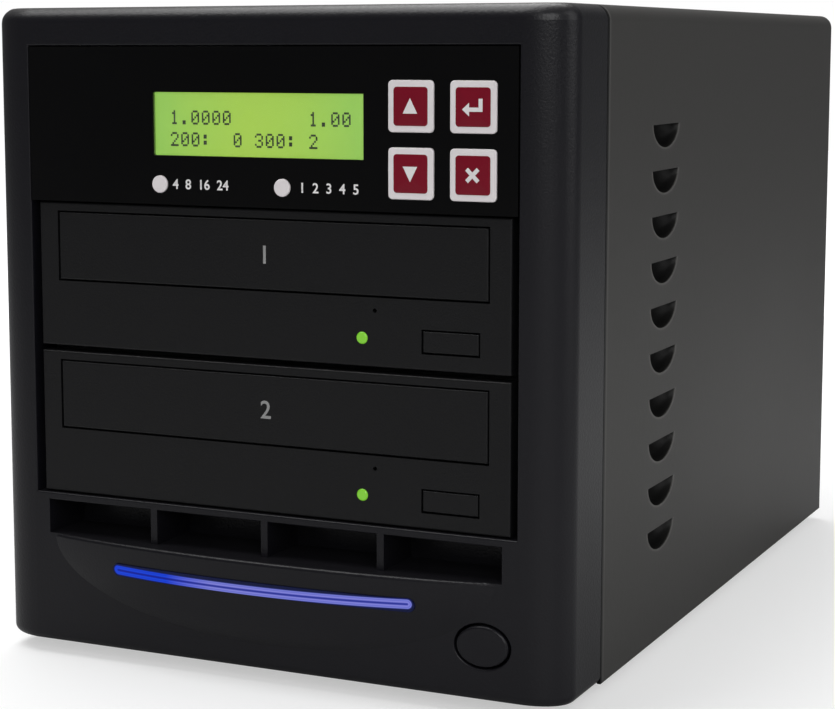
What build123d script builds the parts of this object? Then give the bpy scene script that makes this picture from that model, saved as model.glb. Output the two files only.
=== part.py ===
from build123d import *
from math import acos, cos, pi, radians, sin, sqrt, tan
import os

# A two-bay disc duplicator tower: a moulded front bezel on a folded steel chassis, a painted
# wrap-round cover with pressed louvres, two tray-loading disc drives, a key and display panel,
# a small power supply and a rear fan.
# Millimetres.  Pieces are drawn in the case frame: x across from the centre line, y back from
# the bezel's flat front, z up from the case's lower edge.  write_node moves them to the part's
# own frame, whose origin lies under the middle of the whole object, at the feet.

# ---------------------------------------------------------------- sizes: enclosure
case_width = 180.0
case_height = 186.5
case_depth = 277.0          # bezel front to the cover's rear face
foot_height = 4.0
foot_radius = 8.0
foot_inset_side = 24.0
foot_inset_front = 44.0
foot_inset_rear = 22.0
foot_stud_radius = 2.0
sheet = 1.0                 # steel of cover, chassis and rear panel
bezel_depth = 28.2
bezel_wall = 2.5
bezel_roll_x = 13.0         # the upright front edges are quarter ellipses
bezel_roll_y = 9.0
case_edge_round = 4.5       # top edges of bezel and cover
bezel_foot_round = 2.5
mould_round = 0.5           # small rounds on the bezel's moulded front edges
lip_round = 1.0
seam_gap = 0.3
body_gap = 0.3              # between pieces that only lie side by side
shaft_clearance = 0.05      # radial, a shaft or screw in its hole
edge_fuzz = 0.01            # how near a plane an edge counts as lying in it
wall_gap = 0.8              # bezel's back to the chassis wall
wall_short = 2.0            # the wall ends this far under the cover
chassis_lip = 14.0          # height of the floor's folded sides
foot_round = 1.0
rear_flange = 12.0          # cover's folded border at the back
cover_screw_edge = 5.5
cover_screw_levels = (40.0, 145.0)
cover_screw_x = 50.0
cover_screw_length = 6.0
bezel_screw_length = 12.0
vent_columns = 6
vent_rows = 3
vent_pitch_x = 10.0
vent_pitch_z = 11.0
vent_left = 14.0            # first vent's centre from the supply's side
vent_low = 14.0
vent_width = 3.0
vent_height = 8.0
panel_tab = 12.0            # rear panel's foot, bent forward on the floor
bracket_rear = 150.0
bracket_low_rear = 110.0    # the brackets are shorter beside the supply
bracket_top_gap = 10.0
bracket_low_gap = 3.0
bracket_foot = 10.0
bracket_foot_front = 14.0
bracket_tabs_y = (48.0, 122.0)
bracket_tab_width = 12.0
bracket_tab_reach = 8.0

louvre_count = 10
louvre_length = 24.0
louvre_drop = 6.8
louvre_front = 68.0
louvre_top_z = 153.0        # flat edge of the highest louvre
louvre_pitch = 13.2
louvre_axis_out = 0.4       # how far the bowl's axis lies outside the cover

# ---------------------------------------------------------------- sizes: front
bay_half_width = 76.2
bay_bottom = 45.2
bay_above = 10.8            # bezel left over the bays
bay_collar = 8.0            # depth of the wall round the bay opening
collar_wall = 1.5
slot_half_width = 72.0
slot_bottom = 33.0
slot_top = 43.0
slot_depth = 18.0
slot_wall = 2.0
slot_rib = 2.1
slot_rib_pitch = 36.1
lip_bulge = 6.5             # how far the lip under the slots swells forward
lip_half_width = 70.0
lip_drop = 25.4
bar_length = 96.0
bar_height = 3.8
bar_z = 25.2
bar_proud = 0.4
bar_gap = 0.1
bar_board_y = 6.0
power_x = 66.4
power_z = 15.3
power_width = 15.2
power_height = 11.4
power_gap = 0.6
power_travel = 2.0
power_proud = 0.4
boss_radius = 4.0
boss_x = 81.5
boss_levels = (14.0, 98.0, 168.0)
boss_hole_front = 12.0
face_bite = 1.0             # depth at which inner walls join the bezel's front
collar_front = 0.5
bar_depth = 2.0
bar_hole_depth = 4.0
bar_post_offset = 6.0
bar_post_radius = 3.0
bar_board_overhang = 9.0
bar_board_half = 4.0
lamp_pitch = 20.0
lamp_half_width = 2.5
lamp_half_height = 1.5
lamp_depth = 3.0
guide_wall = 1.4
guide_depth = 8.0
power_cap_depth = 9.0
power_edge_round = 0.8
power_stem = 2.4            # radius
power_stem_front = 8.5
power_stem_end = 9.0        # ahead of the chassis wall
power_switch_half = 6.0
power_switch_depth = 12.0

# ---------------------------------------------------------------- sizes: control panel
panel_bottom = 131.3
panel_thickness = 2.5
panel_gap = 0.3
lcd_left = -34.4
lcd_right = 31.3
lcd_bottom = 145.1
lcd_top = 162.8
lcd_recess = 0.5
lcd_glass = 1.0
lcd_ledge = 2.0
key_width = 13.2
key_height = 13.8
key_columns = (45.4, 63.35)
key_rows = (159.6, 141.8)
key_corner = 1.2
key_proud = 0.5
key_travel = 0.5
key_gap = 0.15
key_flange = 0.8
key_flange_depth = 0.8
key_edge_round = 0.3
panel_post_edge = 3.5
panel_post_radius = 2.5
panel_post_bite = 0.5
module_side = 2.4           # display module's rim beside and over the window
module_rim = 2.6
module_gap = 0.1
module_board_gap = 0.4
module_board_rim = 4.0
keypad_inset = 2.0
keypad_bottom_inset = 1.0
keypad_margin = 3.0
switch_half = 3.0
switch_depth = 2.0
switch_stem = 1.6
switch_gap = 0.1
function_key_radius = 2.45
function_key_x = (-32.3, 6.6)
function_key_z = 137.0
keyboard_y = 8.0
board_thickness = 1.6
controller_gap = 4.0        # board's underside over the upper drive
controller_front = 40.0
controller_rear = 142.0
controller_side_gap = 1.5

# ---------------------------------------------------------------- sizes: disc drive
drive_setback = 1.0
drive_pitch = 43.45
drive_bottom = 45.6
drive_face_width = 148.0
drive_face_height = 41.8
drive_face_thickness = 5.0
drive_width = 146.0
drive_depth = 170.0
drive_sheet = 0.8
drive_face_round = 0.6
drive_screw_y = (52.1, 131.4)
drive_screw_z = 10.0
drive_screw_length = 3.0
case_gap = 0.1              # between the folded pieces of a drive's case
case_inset = 0.5            # case below the bezel's top and over its foot
case_panel_inset = 14.0
case_panel_end = 20.0
case_panel_depth = 0.4      # pressed panel in the case's top
case_panel_back = 0.6
socket_left = 10.0          # opening for the sockets
socket_right = 62.0
socket_top = 11.0
door_half_width = 67.3
door_bottom = 19.4
door_top = 38.9
door_gap = 0.45
door_thickness = 4.0
door_round = 0.5
eject_left = 48.4
eject_right = 64.6
eject_bottom = 4.8
eject_top = 10.6
eject_gap = 0.45
eject_travel = 0.8
eject_round = 0.4
eject_depth = 8.0
eject_stem_rear = 13.0
eject_stem_half = 4.0
eject_stem_inset = 1.5
light_x = 30.2
light_z = 7.8
light_radius = 1.7
light_proud = 0.3
light_depth = 8.0
light_round = 0.6
pinhole_x = 34.1
pinhole_z = 15.4
pinhole_radius = 0.6
tray_half_width = 64.0
tray_bottom = 23.0
tray_top = 30.0
tray_length = 150.0
tray_travel = 132.0
tray_rail = 2.3
tray_rail_bottom = 25.0
tray_rail_height = 2.0
tray_rail_front = 6.0       # behind the door
tray_rack_drop = 3.0
tray_rack_back = 1.5
notch_radius = 12.0
notch_edge = 1.5
disc_y = 72.0               # disc centre behind the drive's face
disc_radius = 60.0
small_disc_radius = 40.0
disc_play = 0.4
disc_depth = 2.2
small_disc_depth = 3.4
window_half_width = 25.0
window_front = 52.0
window_rear = 146.0
frame_half_width = 70.5
frame_floor_bottom = 5.0
frame_floor = 2.0
frame_front = 8.0
frame_rear = 160.0
frame_side_gap = 0.4
frame_back_wall = 3.0
tray_headroom = 1.0         # side walls over the tray
bridge_half = 15.0
bridge_rise = 2.0           # bridge's underside over the walls
bridge_thickness = 2.0
leg_x = 58.0
leg_places = (20.0, 150.0)
leg_radius = 2.5
foot_bite = 0.5             # how deep posts and parts sink in what carries them
motor_post_radius = 4.0
motor_post_top = 12.0
spindle_hole_top = 13.0
hub_radius = 7.3
turntable_radius = 15.0
turntable_top = 20.6
hub_top = 22.4
motor_radius = 13.0
spindle_radius = 1.5
rod_radius = 1.5
rod_x = 24.0
rod_z = 14.5
rod_post = 4.0
rod_post_half = 2.8
rod_post_cap = 3.0
rod_front_reach = 16.0      # posts from the lens at the ends of its travel
rod_rear_reach = 23.0
sled_inner = 98.0           # lens position with the sled fully in
sled_travel = 32.0
gear_module = 0.7
gear_teeth = 18
gear_backlash = 0.15
pressure_angle = 20.0
tray_gear_x = -45.7
tray_gear_y = 16.5
sled_gear_y = 118.0
gear_pin = 1.5
gear_height = 3.0
tray_gear_gap = 0.6
sled_gear_top = 16.5
clamper_extra = 5.0
clamper_flange = 2.0
clamper_flange_thickness = 1.2
clamper_reach = 2.6
clamper_lift = 0.3
can_radius = 8.0
can_height = 10.0
can_cap_radius = 2.0
can_cap_height = 2.0
can_places = ((-18.0, 24.0), (-52.0, 140.0))
rotor_bottom = 12.4
turntable_thickness = 1.6
hub_chamfer = 1.0
sled_front_reach = 9.5
sled_rear_reach = 12.0
sled_bearing = 3.5
sled_half_height = 3.2
lens_ring_radius = 7.0
lens_ring_top = 5.2
lens_radius = 3.2
lens_under_hub = 0.6
sled_rack_offset = 6.0
sled_rack_overrun = 3.5
sled_rack_half = 1.5
sled_rack_back = 1.8

# ---------------------------------------------------------------- sizes: power supply and fans
psu_x = -40.0
psu_width = 81.5
psu_height = 40.5
psu_length = 150.0
psu_sheet = 0.8
psu_fan_size = 38.0
psu_fan_depth = 15.0
psu_fan_holes = 30.0        # screw to screw
psu_fan_offset = -20.0
inlet_offset = 17.0
inlet_width = 28.0
inlet_height = 37.0
socket_width = 24.6
socket_height = 16.8
socket_depth = 15.0
rocker_half = 6.5
rocker_width = 16.0
rocker_tilt = 8.0
rocker_face = 4.6           # rocker's raised end over its pivot
rocker_back = 3.5
rocker_pivot_depth = 2.5
rocker_pin = 1.0
rocker_pin_length = 1.5
rocker_socket = 1.8
rocker_edge = 2.4           # rim over the rocker
socket_edge = 3.0           # rim under the socket
socket_chamfer = 5.0
inlet_gap = 0.2
inlet_flange = 1.0
inlet_round = 1.5
inlet_body_inset = 1.6
inlet_hole_inset = 1.4
blade_half_width = 1.0
blade_half_height = 2.0
blade_places = ((-7.0, -1.5), (0.0, 2.5), (7.0, -1.5))
psu_screw_edge = 3.5
psu_screw_length = 5.0
psu_board_level = 4.0
psu_vents = 8
psu_vent_pitch = 6.0
fan_size = 80.0
fan_depth = 25.0
fan_x = 0.0
fan_z = 112.0
fan_holes_pitch = 71.5      # screw to screw
fan_screw_length = 12.0
fan_opening_inset = 1.2
fan_shaft = 1.5
guard_wire = 0.8
guard_radii = (10.0, 18.0, 26.0, 34.0)
guard_wire_gap = 0.2
eyelet_rim = 0.6
screw_radius = 1.45
screw_head_radius = 3.0
screw_head_height = 1.9
eyelet_height = 1.6

# ---------------------------------------------------------------- worked out from the above
half_width = case_width / 2
bay_top = case_height - bay_above
cover_front = bezel_depth + seam_gap
wall_front = bezel_depth + wall_gap
wall_rear = wall_front + sheet
panel_rear_y = case_depth - sheet           # rear panel's outer face, under the cover's flange
panel_inner_y = panel_rear_y - sheet
screw_hole = screw_radius + shaft_clearance
rear_reach = panel_rear_y + eyelet_height + screw_head_height
front_plane_y = lip_bulge - (lip_bulge + rear_reach) / 2
drive_levels = {"lower": drive_bottom, "upper": drive_bottom + drive_pitch}
gear_pitch_radius = gear_module * gear_teeth / 2
rack_pitch = pi * gear_module
frame_wall_top = tray_top + tray_headroom
tray_gear_top = tray_bottom - tray_gear_gap


# ---------------------------------------------------------------- helpers
def block(x0, x1, y0, y1, z0, z1):
    """A box between two corners."""
    centre = Pos((x0 + x1) / 2, (y0 + y1) / 2, (z0 + z1) / 2)
    return centre * Box(x1 - x0, y1 - y0, z1 - z0)


def rod(axis, a, b, radius, low, high):
    """A cylinder along x, y or z; a and b are its place on the other two axes, in order."""
    bar = Cylinder(radius, high - low)
    middle = (low + high) / 2
    if axis == "x":
        return Pos(middle, a, b) * Rot(0, 90, 0) * bar
    if axis == "y":
        return Pos(a, middle, b) * Rot(90, 0, 0) * bar
    return Pos(a, b, middle) * bar


def facing_front(outline, x, z, y0, y1):
    """Push a flat outline, drawn as seen from the front, back from y0 to y1."""
    plane = Plane(origin=(x, y0, z), x_dir=(1, 0, 0), z_dir=(0, -1, 0))
    return extrude(plane * outline, amount=y0 - y1)


def rounded(width, height, radius):
    """A rectangle with round corners, as a flat outline."""
    return RectangleRounded(width, height, radius)


def frame_ring(half_w, low, high, wall, y0, y1):
    """A rectangular wall round an opening."""
    outer = block(-half_w - wall, half_w + wall, y0, y1, low - wall, high + wall)
    return outer - block(-half_w, half_w, y0 - 1, y1 + 1, low, high)


def screw(axis, direction, a, b, seat, length):
    """Pan-head screw: its head stands on the seat, its shank runs the other way."""
    tip = seat - direction * length
    top = seat + direction * screw_head_height
    shank = rod(axis, a, b, screw_radius, min(seat, tip), max(seat, tip))
    head = rod(axis, a, b, screw_head_radius, min(seat, top), max(seat, top))
    rim = [e for e in head.edges().filter_by(GeomType.CIRCLE)
           if abs(getattr(e.center(), axis.upper()) - top) < edge_fuzz]
    head = fillet(rim, screw_head_height * 0.6)
    cross = screw_head_radius * 0.95
    depth = screw_head_height * 0.55
    slots = []
    for turn in (0, 90):
        slot = Box(cross * 2 * 0.6, 0.7, depth)
        slots.append(rod_place(axis, a, b, top - direction * depth / 2) * Rot(0, 0, turn) * slot)
    return (head + shank) - slots


def rod_place(axis, a, b, along):
    """Where a piece drawn along z goes when its axis is x, y or z."""
    if axis == "x":
        return Pos(along, a, b) * Rot(0, 90, 0)
    if axis == "y":
        return Pos(a, along, b) * Rot(90, 0, 0)
    return Pos(a, b, along)


def write_node(name, *solids):
    """Move a node's solids to the part's frame and write them."""
    place = Pos(0, front_plane_y, foot_height)
    moved = [place * s for s in solids]
    shape = moved[0] if len(moved) == 1 else Compound(children=moved)
    export_step(shape, f"parts/{name}.step")


# ---------------------------------------------------------------- front bezel
def bezel_outline(inset):
    """Plan of the bezel: flat front, quarter-ellipse corners, open side at the back."""
    half, rear = half_width - inset, bezel_depth
    rx, ry = bezel_roll_x - inset, bezel_roll_y - inset
    left = EllipticalCenterArc((-half + rx, inset + ry), rx, ry, 180, arc_size=90)
    right = EllipticalCenterArc((half - rx, inset + ry), rx, ry, 270, arc_size=90)
    sides = [Line((-half, rear), left @ 0), Line(left @ 1, right @ 0),
             Line(right @ 1, (half, rear)), Line((half, rear), (-half, rear))]
    return make_face(Curve() + [left, right] + sides)


def front_loop(solid, level):
    """Edges of a level face, apart from the straight one along the seam."""
    ring = solid.faces().sort_by(Axis.Z)[-1 if level == "top" else 0].edges()
    return [e for e in ring if abs(e.center().Y - bezel_depth) > edge_fuzz]


def lip_ellipsoid(inset):
    """Ellipsoid whose cap, cut by the front plane, is the swollen lip; inset shrinks it."""
    cap = 0.4                # height of the cap as a share of the semi-axis
    spread = 1.25            # semi-axis over the cap's half width
    deep = lip_bulge / cap
    size = (lip_half_width * spread - inset, deep - inset, lip_drop * spread - inset)
    return Pos(0, deep - lip_bulge, slot_bottom) * scale(Sphere(1), by=size)


def bar_outline(grow):
    """The light bar's round-ended outline."""
    return SlotOverall(bar_length + 2 * grow, bar_height + 2 * grow)


def power_outline(grow):
    """The power button's oval."""
    return Ellipse(power_width / 2 + grow, power_height / 2 + grow)


def make_front_bezel():
    outer = extrude(bezel_outline(0), case_height)
    outer = fillet(front_loop(outer, "top"), case_edge_round)
    outer = fillet(front_loop(outer, "bottom"), bezel_foot_round)
    inner = extrude(bezel_outline(bezel_wall), case_height - 2 * bezel_wall)
    inner = Pos(0, 0, bezel_wall) * inner
    inner = fillet(front_loop(inner, "top"), case_edge_round - bezel_wall)
    shell = outer - inner
    lip_front = block(-half_width, half_width, -2 * lip_bulge, face_bite, 0, slot_bottom)
    lip = lip_ellipsoid(0) & lip_front
    under_floor = block(-half_width, half_width, -2 * lip_bulge, bezel_wall + face_bite,
                        0, slot_bottom - slot_wall)
    shell = (shell + lip) - (lip_ellipsoid(bezel_wall) & under_floor)
    shell += frame_ring(bay_half_width, bay_bottom, bay_top, collar_wall, collar_front,
                        bay_collar)
    pocket_rear = slot_depth + slot_wall
    shell += block(-slot_half_width - slot_wall, slot_half_width + slot_wall, face_bite,
                   pocket_rear, slot_bottom - slot_wall, bay_bottom)
    behind = block(-half_width, half_width, bezel_depth - 1, wall_front, 0, case_height)
    for level in boss_levels:
        for side in (-1, 1):
            boss = rod("y", side * boss_x, level, boss_radius, face_bite, wall_front)
            shell += boss & (outer + behind)
    bar_post_x = bar_length / 2 + bar_post_offset
    for side in (-1, 1):
        shell += rod("y", side * bar_post_x, bar_z, bar_post_radius, -1.0, bar_board_y)
    shell += facing_front(power_outline(power_gap + guide_wall), power_x, power_z, face_bite,
                          guide_depth)
    cuts = [block(-bay_half_width, bay_half_width, -1, bay_collar + 1, bay_bottom, bay_top)]
    edges_x = [-slot_half_width - slot_rib / 2]
    edges_x += [i * slot_rib_pitch for i in (-1, 0, 1)]
    edges_x += [slot_half_width + slot_rib / 2]
    for left, right in zip(edges_x, edges_x[1:]):
        cuts.append(block(left + slot_rib / 2, right - slot_rib / 2, -1, slot_depth,
                          slot_bottom, slot_top))
    cuts.append(facing_front(bar_outline(bar_gap), 0, bar_z, -2 * lip_bulge,
                             bar_hole_depth))
    cuts.append(facing_front(power_outline(power_gap), power_x, power_z, -1.0,
                             power_cap_depth))
    for level in boss_levels:
        for side in (-1, 1):
            cuts.append(rod("y", side * boss_x, level, screw_hole, boss_hole_front,
                            wall_front + 1))
    return soften_front(shell - cuts)


def soften_front(bezel):
    """Round the lip's upper edge, and the front edges of bay, crossbar and button hole."""
    lip = [e for e in bezel.edges() if abs(e.center().Z - slot_bottom) < edge_fuzz
           and e.bounding_box().size.Z < edge_fuzz and e.bounding_box().min.Y < -lip_round]
    bezel = fillet(lip, lip_round)
    flat = [e for e in bezel.edges() if abs(e.bounding_box().min.Y) < edge_fuzz
            and abs(e.bounding_box().max.Y) < edge_fuzz]
    reach_x, reach_z = power_width / 2 + 2 * power_gap, power_height / 2 + 2 * power_gap
    hole = [e for e in flat if abs(e.center().X - power_x) < reach_x
            and abs(e.center().Z - power_z) < reach_z]
    crossbar = [e for e in flat if abs(e.center().Z - slot_top) < edge_fuzz]
    bay = [e for e in flat if bay_bottom - edge_fuzz < e.center().Z < bay_top + edge_fuzz
           and abs(e.center().X) < bay_half_width + edge_fuzz]
    return fillet(hole + crossbar + bay, mould_round)


# ---------------------------------------------------------------- sheet-metal enclosure
def cover_outline(inset):
    """The cover's cross-section: round top corners, running below the case's edge."""
    radius = case_edge_round - inset
    height = case_height - inset + case_edge_round * 2
    plate = RectangleRounded(case_width - 2 * inset, height, radius)
    return Pos(0, case_height - inset - height / 2) * plate


def louvre_bowl(grow):
    """A quarter turn of half an ellipse: the dished louvre, pressed in from the right.
    The axis lies just outside the cover, so that the bowl's two tips are cut off."""
    axis_x = half_width + louvre_axis_out
    ends = louvre_length / 2 + grow
    plane = Plane(origin=(axis_x, 0, 0), x_dir=(0, 1, 0), z_dir=(1, 0, 0))
    arc = EllipticalCenterArc((0, 0), ends, louvre_drop + grow, 180, arc_size=180)
    face = make_face(Curve() + [arc, Line(arc @ 1, arc @ 0)])
    return revolve(plane * face, Axis((axis_x, 0, 0), (0, 1, 0)), 90)


def make_top_cover():
    whole = facing_front(cover_outline(0), 0, 0, cover_front, case_depth)
    hollow = facing_front(cover_outline(sheet), 0, 0, cover_front - 1, case_depth - sheet)
    window = block(-half_width + rear_flange, half_width - rear_flange, case_depth - 2 * sheet,
                   case_depth + 1, -50, case_height - rear_flange)
    cover = whole - [hollow, window]
    cover -= block(-case_width, case_width, 0, case_depth + 1, -50, 0)
    inside = block(0, half_width, -louvre_length, louvre_length, -2 * louvre_drop, louvre_drop)
    hollow_bowl = louvre_bowl(0)
    shell = (louvre_bowl(sheet) & inside) - hollow_bowl
    shells, hollows = [], []
    for i in range(louvre_count):
        place = Pos(0, louvre_front + louvre_length / 2, louvre_top_z - i * louvre_pitch)
        for turn in (0, 180):
            shells.append(place * Rot(0, 0, turn) * shell)
            hollows.append(place * Rot(0, 0, turn) * hollow_bowl)
    cover = (cover - hollows) + shells
    for x, z in cover_screw_places():
        cover -= rod("y", x, z, screw_hole, case_depth - 2 * sheet, case_depth + 1)
    return cover


def cover_screw_places():
    """The screws round the cover's rear flange."""
    side, top = half_width - cover_screw_edge, case_height - cover_screw_edge
    sides = [(s * side, z) for s in (-1, 1) for z in cover_screw_levels]
    return sides + [(s * cover_screw_x, top) for s in (-1, 1)]


def fan_screw_places(pitch, x, z):
    """Corner screw places of a square fan."""
    half = pitch / 2
    return [(x + i * half, z + j * half) for i in (-1, 1) for j in (-1, 1)]


def psu_screw_places():
    """The supply hangs on its fan's four screws and on two at its other end."""
    low, high = sheet + psu_screw_edge, sheet + psu_height - psu_screw_edge
    right = psu_x + psu_width / 2 - psu_screw_edge
    fan = fan_screw_places(psu_fan_holes, psu_x + psu_fan_offset, sheet + psu_height / 2)
    return fan + [(right, low), (right, high)]


def make_base_chassis():
    side = half_width - sheet - body_gap
    floor = block(-side, side, wall_front, panel_inner_y, 0, sheet)
    wall = block(-side, side, wall_front, wall_rear, 0, case_height - sheet - wall_short)
    lips = [block(s * (side - sheet / 2) - sheet / 2, s * (side - sheet / 2) + sheet / 2,
                  wall_front, panel_inner_y, 0, chassis_lip) for s in (-1, 1)]
    chassis = floor + wall + lips
    cuts = [block(-bay_half_width, bay_half_width, 0, wall_rear + 1, bay_bottom, bay_top)]
    for s in (-1, 1):
        for level in boss_levels:
            cuts.append(rod("y", s * boss_x, level, screw_hole, 0, wall_rear + 1))
    for x, y in foot_places():
        cuts.append(rod("z", x, y, foot_stud_radius + shaft_clearance, -1, sheet + 1))
    return chassis - cuts


def foot_places():
    side = half_width - foot_inset_side
    return [(s * side, y) for s in (-1, 1)
            for y in (foot_inset_front, case_depth - foot_inset_rear)]


def make_rubber_feet():
    feet = []
    for x, y in foot_places():
        pad = rod("z", x, y, foot_radius, -foot_height, 0)
        pad = fillet(pad.edges().filter_by(GeomType.CIRCLE).sort_by(Axis.Z)[0], foot_round)
        feet.append(pad + rod("z", x, y, foot_stud_radius, 0, sheet))
    return feet


def make_rear_panel():
    side = half_width - sheet - body_gap
    panel = facing_front(cover_outline(sheet + body_gap), 0, 0, panel_inner_y, panel_rear_y)
    panel &= block(-side, side, panel_inner_y, panel_rear_y, sheet, case_height)
    right = psu_x + psu_width / 2
    panel += block(right + 4 * sheet, side - 2 * sheet, panel_inner_y - panel_tab,
                   panel_inner_y, sheet, 2 * sheet)
    middle = sheet + psu_height / 2
    cuts = [block(psu_x - inlet_width / 2 + inlet_offset - inlet_gap,
                  psu_x + inlet_width / 2 + inlet_offset + inlet_gap, panel_inner_y - 1,
                  case_depth, middle - inlet_height / 2 - inlet_gap,
                  middle + inlet_height / 2 + inlet_gap)]
    for x, z, size in ((psu_x + psu_fan_offset, middle, psu_fan_size), (fan_x, fan_z, fan_size)):
        cuts.append(rod("y", x, z, size / 2 - fan_opening_inset, panel_inner_y - 1, case_depth))
    places = cover_screw_places() + psu_screw_places()
    places += fan_screw_places(fan_holes_pitch, fan_x, fan_z)
    for x, z in places:
        cuts.append(rod("y", x, z, screw_hole, panel_inner_y - 1, case_depth))
    for i in range(vent_columns):
        for j in range(vent_rows):
            x, z = right + vent_left + i * vent_pitch_x, vent_low + j * vent_pitch_z
            cuts.append(block(x - vent_width / 2, x + vent_width / 2, panel_inner_y - 1,
                              case_depth, z - vent_height / 2, z + vent_height / 2))
    return panel - cuts


def bracket_inner():
    return drive_width / 2 + body_gap


def make_bay_bracket(side):
    """Side plate that carries both drives and the controller board, here for the right."""
    inner = bracket_inner()
    outer = inner + sheet
    top = case_height - bracket_top_gap
    low_top = sheet + psu_height + bracket_low_gap
    bracket = block(inner, outer, wall_rear, bracket_rear, low_top, top)
    bracket += block(inner, outer, wall_rear, bracket_low_rear, sheet, low_top)
    bracket += block(outer, outer + bracket_foot, wall_rear + bracket_foot_front,
                     bracket_low_rear, sheet, 2 * sheet)
    for y in bracket_tabs_y:
        bracket += block(inner - bracket_tab_reach, inner, y, y + bracket_tab_width,
                         board_level() - sheet, board_level())
    holes = [rod("x", y, z, screw_hole, inner - 1, outer + 1) for y, z in drive_screw_places()]
    bracket -= holes
    return bracket if side > 0 else mirror(bracket, about=Plane.YZ)


def board_level():
    """Underside of the controller board, over the upper drive."""
    return drive_levels["upper"] + drive_face_height + controller_gap


def drive_screw_places():
    """Side screws of both drives, as (y, z)."""
    return [(drive_setback + y, level + drive_screw_z)
            for level in drive_levels.values() for y in drive_screw_y]


def make_drive_screws():
    seat = bracket_inner() + sheet
    screws = []
    for y, z in drive_screw_places():
        screws.append(screw("x", 1, y, z, seat, drive_screw_length))
        screws.append(screw("x", -1, y, z, -seat, drive_screw_length))
    return screws


def make_case_screws():
    screws = [screw("y", 1, x, z, case_depth, cover_screw_length)
              for x, z in cover_screw_places()]
    screws += [screw("y", 1, x, z, panel_rear_y, psu_screw_length)
               for x, z in psu_screw_places()]
    screws += [screw("y", 1, x, z, panel_rear_y + eyelet_height, fan_screw_length)
               for x, z in fan_screw_places(fan_holes_pitch, fan_x, fan_z)]
    for level in boss_levels:
        for side in (-1, 1):
            screws.append(screw("y", 1, side * boss_x, level, wall_rear, bezel_screw_length))
    return screws


# ---------------------------------------------------------------- control panel
def key_places():
    """Centres of the four square keys, by name."""
    left, right = key_columns
    high, low = key_rows
    return {"key_up": (left, high), "key_enter": (right, high),
            "key_down": (left, low), "key_escape": (right, low)}


def make_control_panel():
    half = bay_half_width - panel_gap
    top = bay_top - panel_gap
    panel = block(-half, half, 0, panel_thickness, panel_bottom, top)
    centre_x, centre_z = (lcd_left + lcd_right) / 2, (lcd_bottom + lcd_top) / 2
    width, height = lcd_right - lcd_left, lcd_top - lcd_bottom
    cuts = [facing_front(Rectangle(width, height), centre_x, centre_z, -1,
                         lcd_recess + lcd_glass)]
    cuts.append(facing_front(Rectangle(width - lcd_ledge, height - lcd_ledge), centre_x,
                             centre_z, -1, panel_thickness + 1))
    grown = 2 * key_gap
    for x, z in key_places().values():
        hole = rounded(key_width + grown, key_height + grown, key_corner + key_gap)
        cuts.append(facing_front(hole, x, z, -1, panel_thickness + 1))
    for x in function_key_x:
        cuts.append(rod("y", x, function_key_z, function_key_radius + key_gap, -1,
                        panel_thickness + 1))
    side = half - panel_post_edge
    low, high = panel_bottom + panel_post_edge, top - panel_post_edge
    between = (function_key_x[1] + key_columns[0]) / 2
    for x, z in ((-side, low), (between, low), (-side, high), (side, high)):
        panel += rod("y", x, z, panel_post_radius, panel_thickness - panel_post_bite, keyboard_y)
    return panel - cuts


def make_lcd_window():
    width, height = lcd_right - lcd_left - 2 * shaft_clearance, lcd_top - lcd_bottom
    centre_x, centre_z = (lcd_left + lcd_right) / 2, (lcd_bottom + lcd_top) / 2
    pane = Rectangle(width, height - 2 * shaft_clearance)
    return facing_front(pane, centre_x, centre_z, lcd_recess, lcd_recess + lcd_glass)


def make_lcd_module():
    """The display glass in its steel frame, on its own small board."""
    x0, x1 = lcd_left - module_side, lcd_right + module_side
    z0, z1 = lcd_bottom - module_rim, lcd_top + module_rim
    front = panel_thickness + module_gap
    board_y = keyboard_y + board_thickness + module_board_gap
    module = block(x0, x1, front, board_y, z0, z1)
    rim = module_board_rim
    module += block(x0 - rim, x1 + rim, board_y, board_y + board_thickness, z0 - rim, z1 + rim)
    module += block(x0 + 8, x0 + 14, board_y, board_y + 4, z0, z1 - 6)          # connector
    module += block(x0 + 22, x0 + 32, board_y, board_y + 3, z0 + 4, z0 + 14)    # driver chip
    return module


def make_key(x, z):
    """A square cap that passes the panel, with a flange that holds it in behind."""
    flange_front = panel_thickness + body_gap
    cap = facing_front(rounded(key_width, key_height, key_corner), x, z, -key_proud,
                       flange_front + key_flange_depth)
    front = cap.faces().sort_by(Axis.Y)[0]
    cap = fillet(front.edges(), key_edge_round)
    grow = 2 * key_flange
    flange = rounded(key_width + grow, key_height + grow, key_corner)
    return cap + facing_front(flange, x, z, flange_front, flange_front + key_flange_depth)


def make_function_key(x):
    flange_front = panel_thickness + body_gap
    flange_rear = flange_front + key_flange_depth
    cap = rod("y", x, function_key_z, function_key_radius, -key_proud, flange_rear)
    front = cap.faces().sort_by(Axis.Y)[0]
    cap = fillet(front.edges(), key_edge_round)
    return cap + rod("y", x, function_key_z, function_key_radius + key_flange, flange_front,
                     flange_rear)


def make_keypad_board():
    """One board behind the panel, with a push switch behind each key and a display window."""
    half = bay_half_width - keypad_inset
    board = block(-half, half, keyboard_y, keyboard_y + board_thickness,
                  panel_bottom + keypad_bottom_inset, bay_top - keypad_inset)
    margin = keypad_margin
    board -= block(lcd_left - margin, lcd_right + margin, keyboard_y - 1,
                   keyboard_y + board_thickness + 1, lcd_bottom - margin, lcd_top + margin)
    places = list(key_places().values()) + [(x, function_key_z) for x in function_key_x]
    key_rear = panel_thickness + body_gap + key_flange_depth
    actuator = key_rear + key_travel + switch_gap
    switch_front = keyboard_y - switch_depth
    for x, z in places:
        board += block(x - switch_half, x + switch_half, switch_front, keyboard_y,
                       z - switch_half, z + switch_half)
        board += rod("y", x, z, switch_stem, actuator, switch_front + 0.1)
    return board


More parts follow.
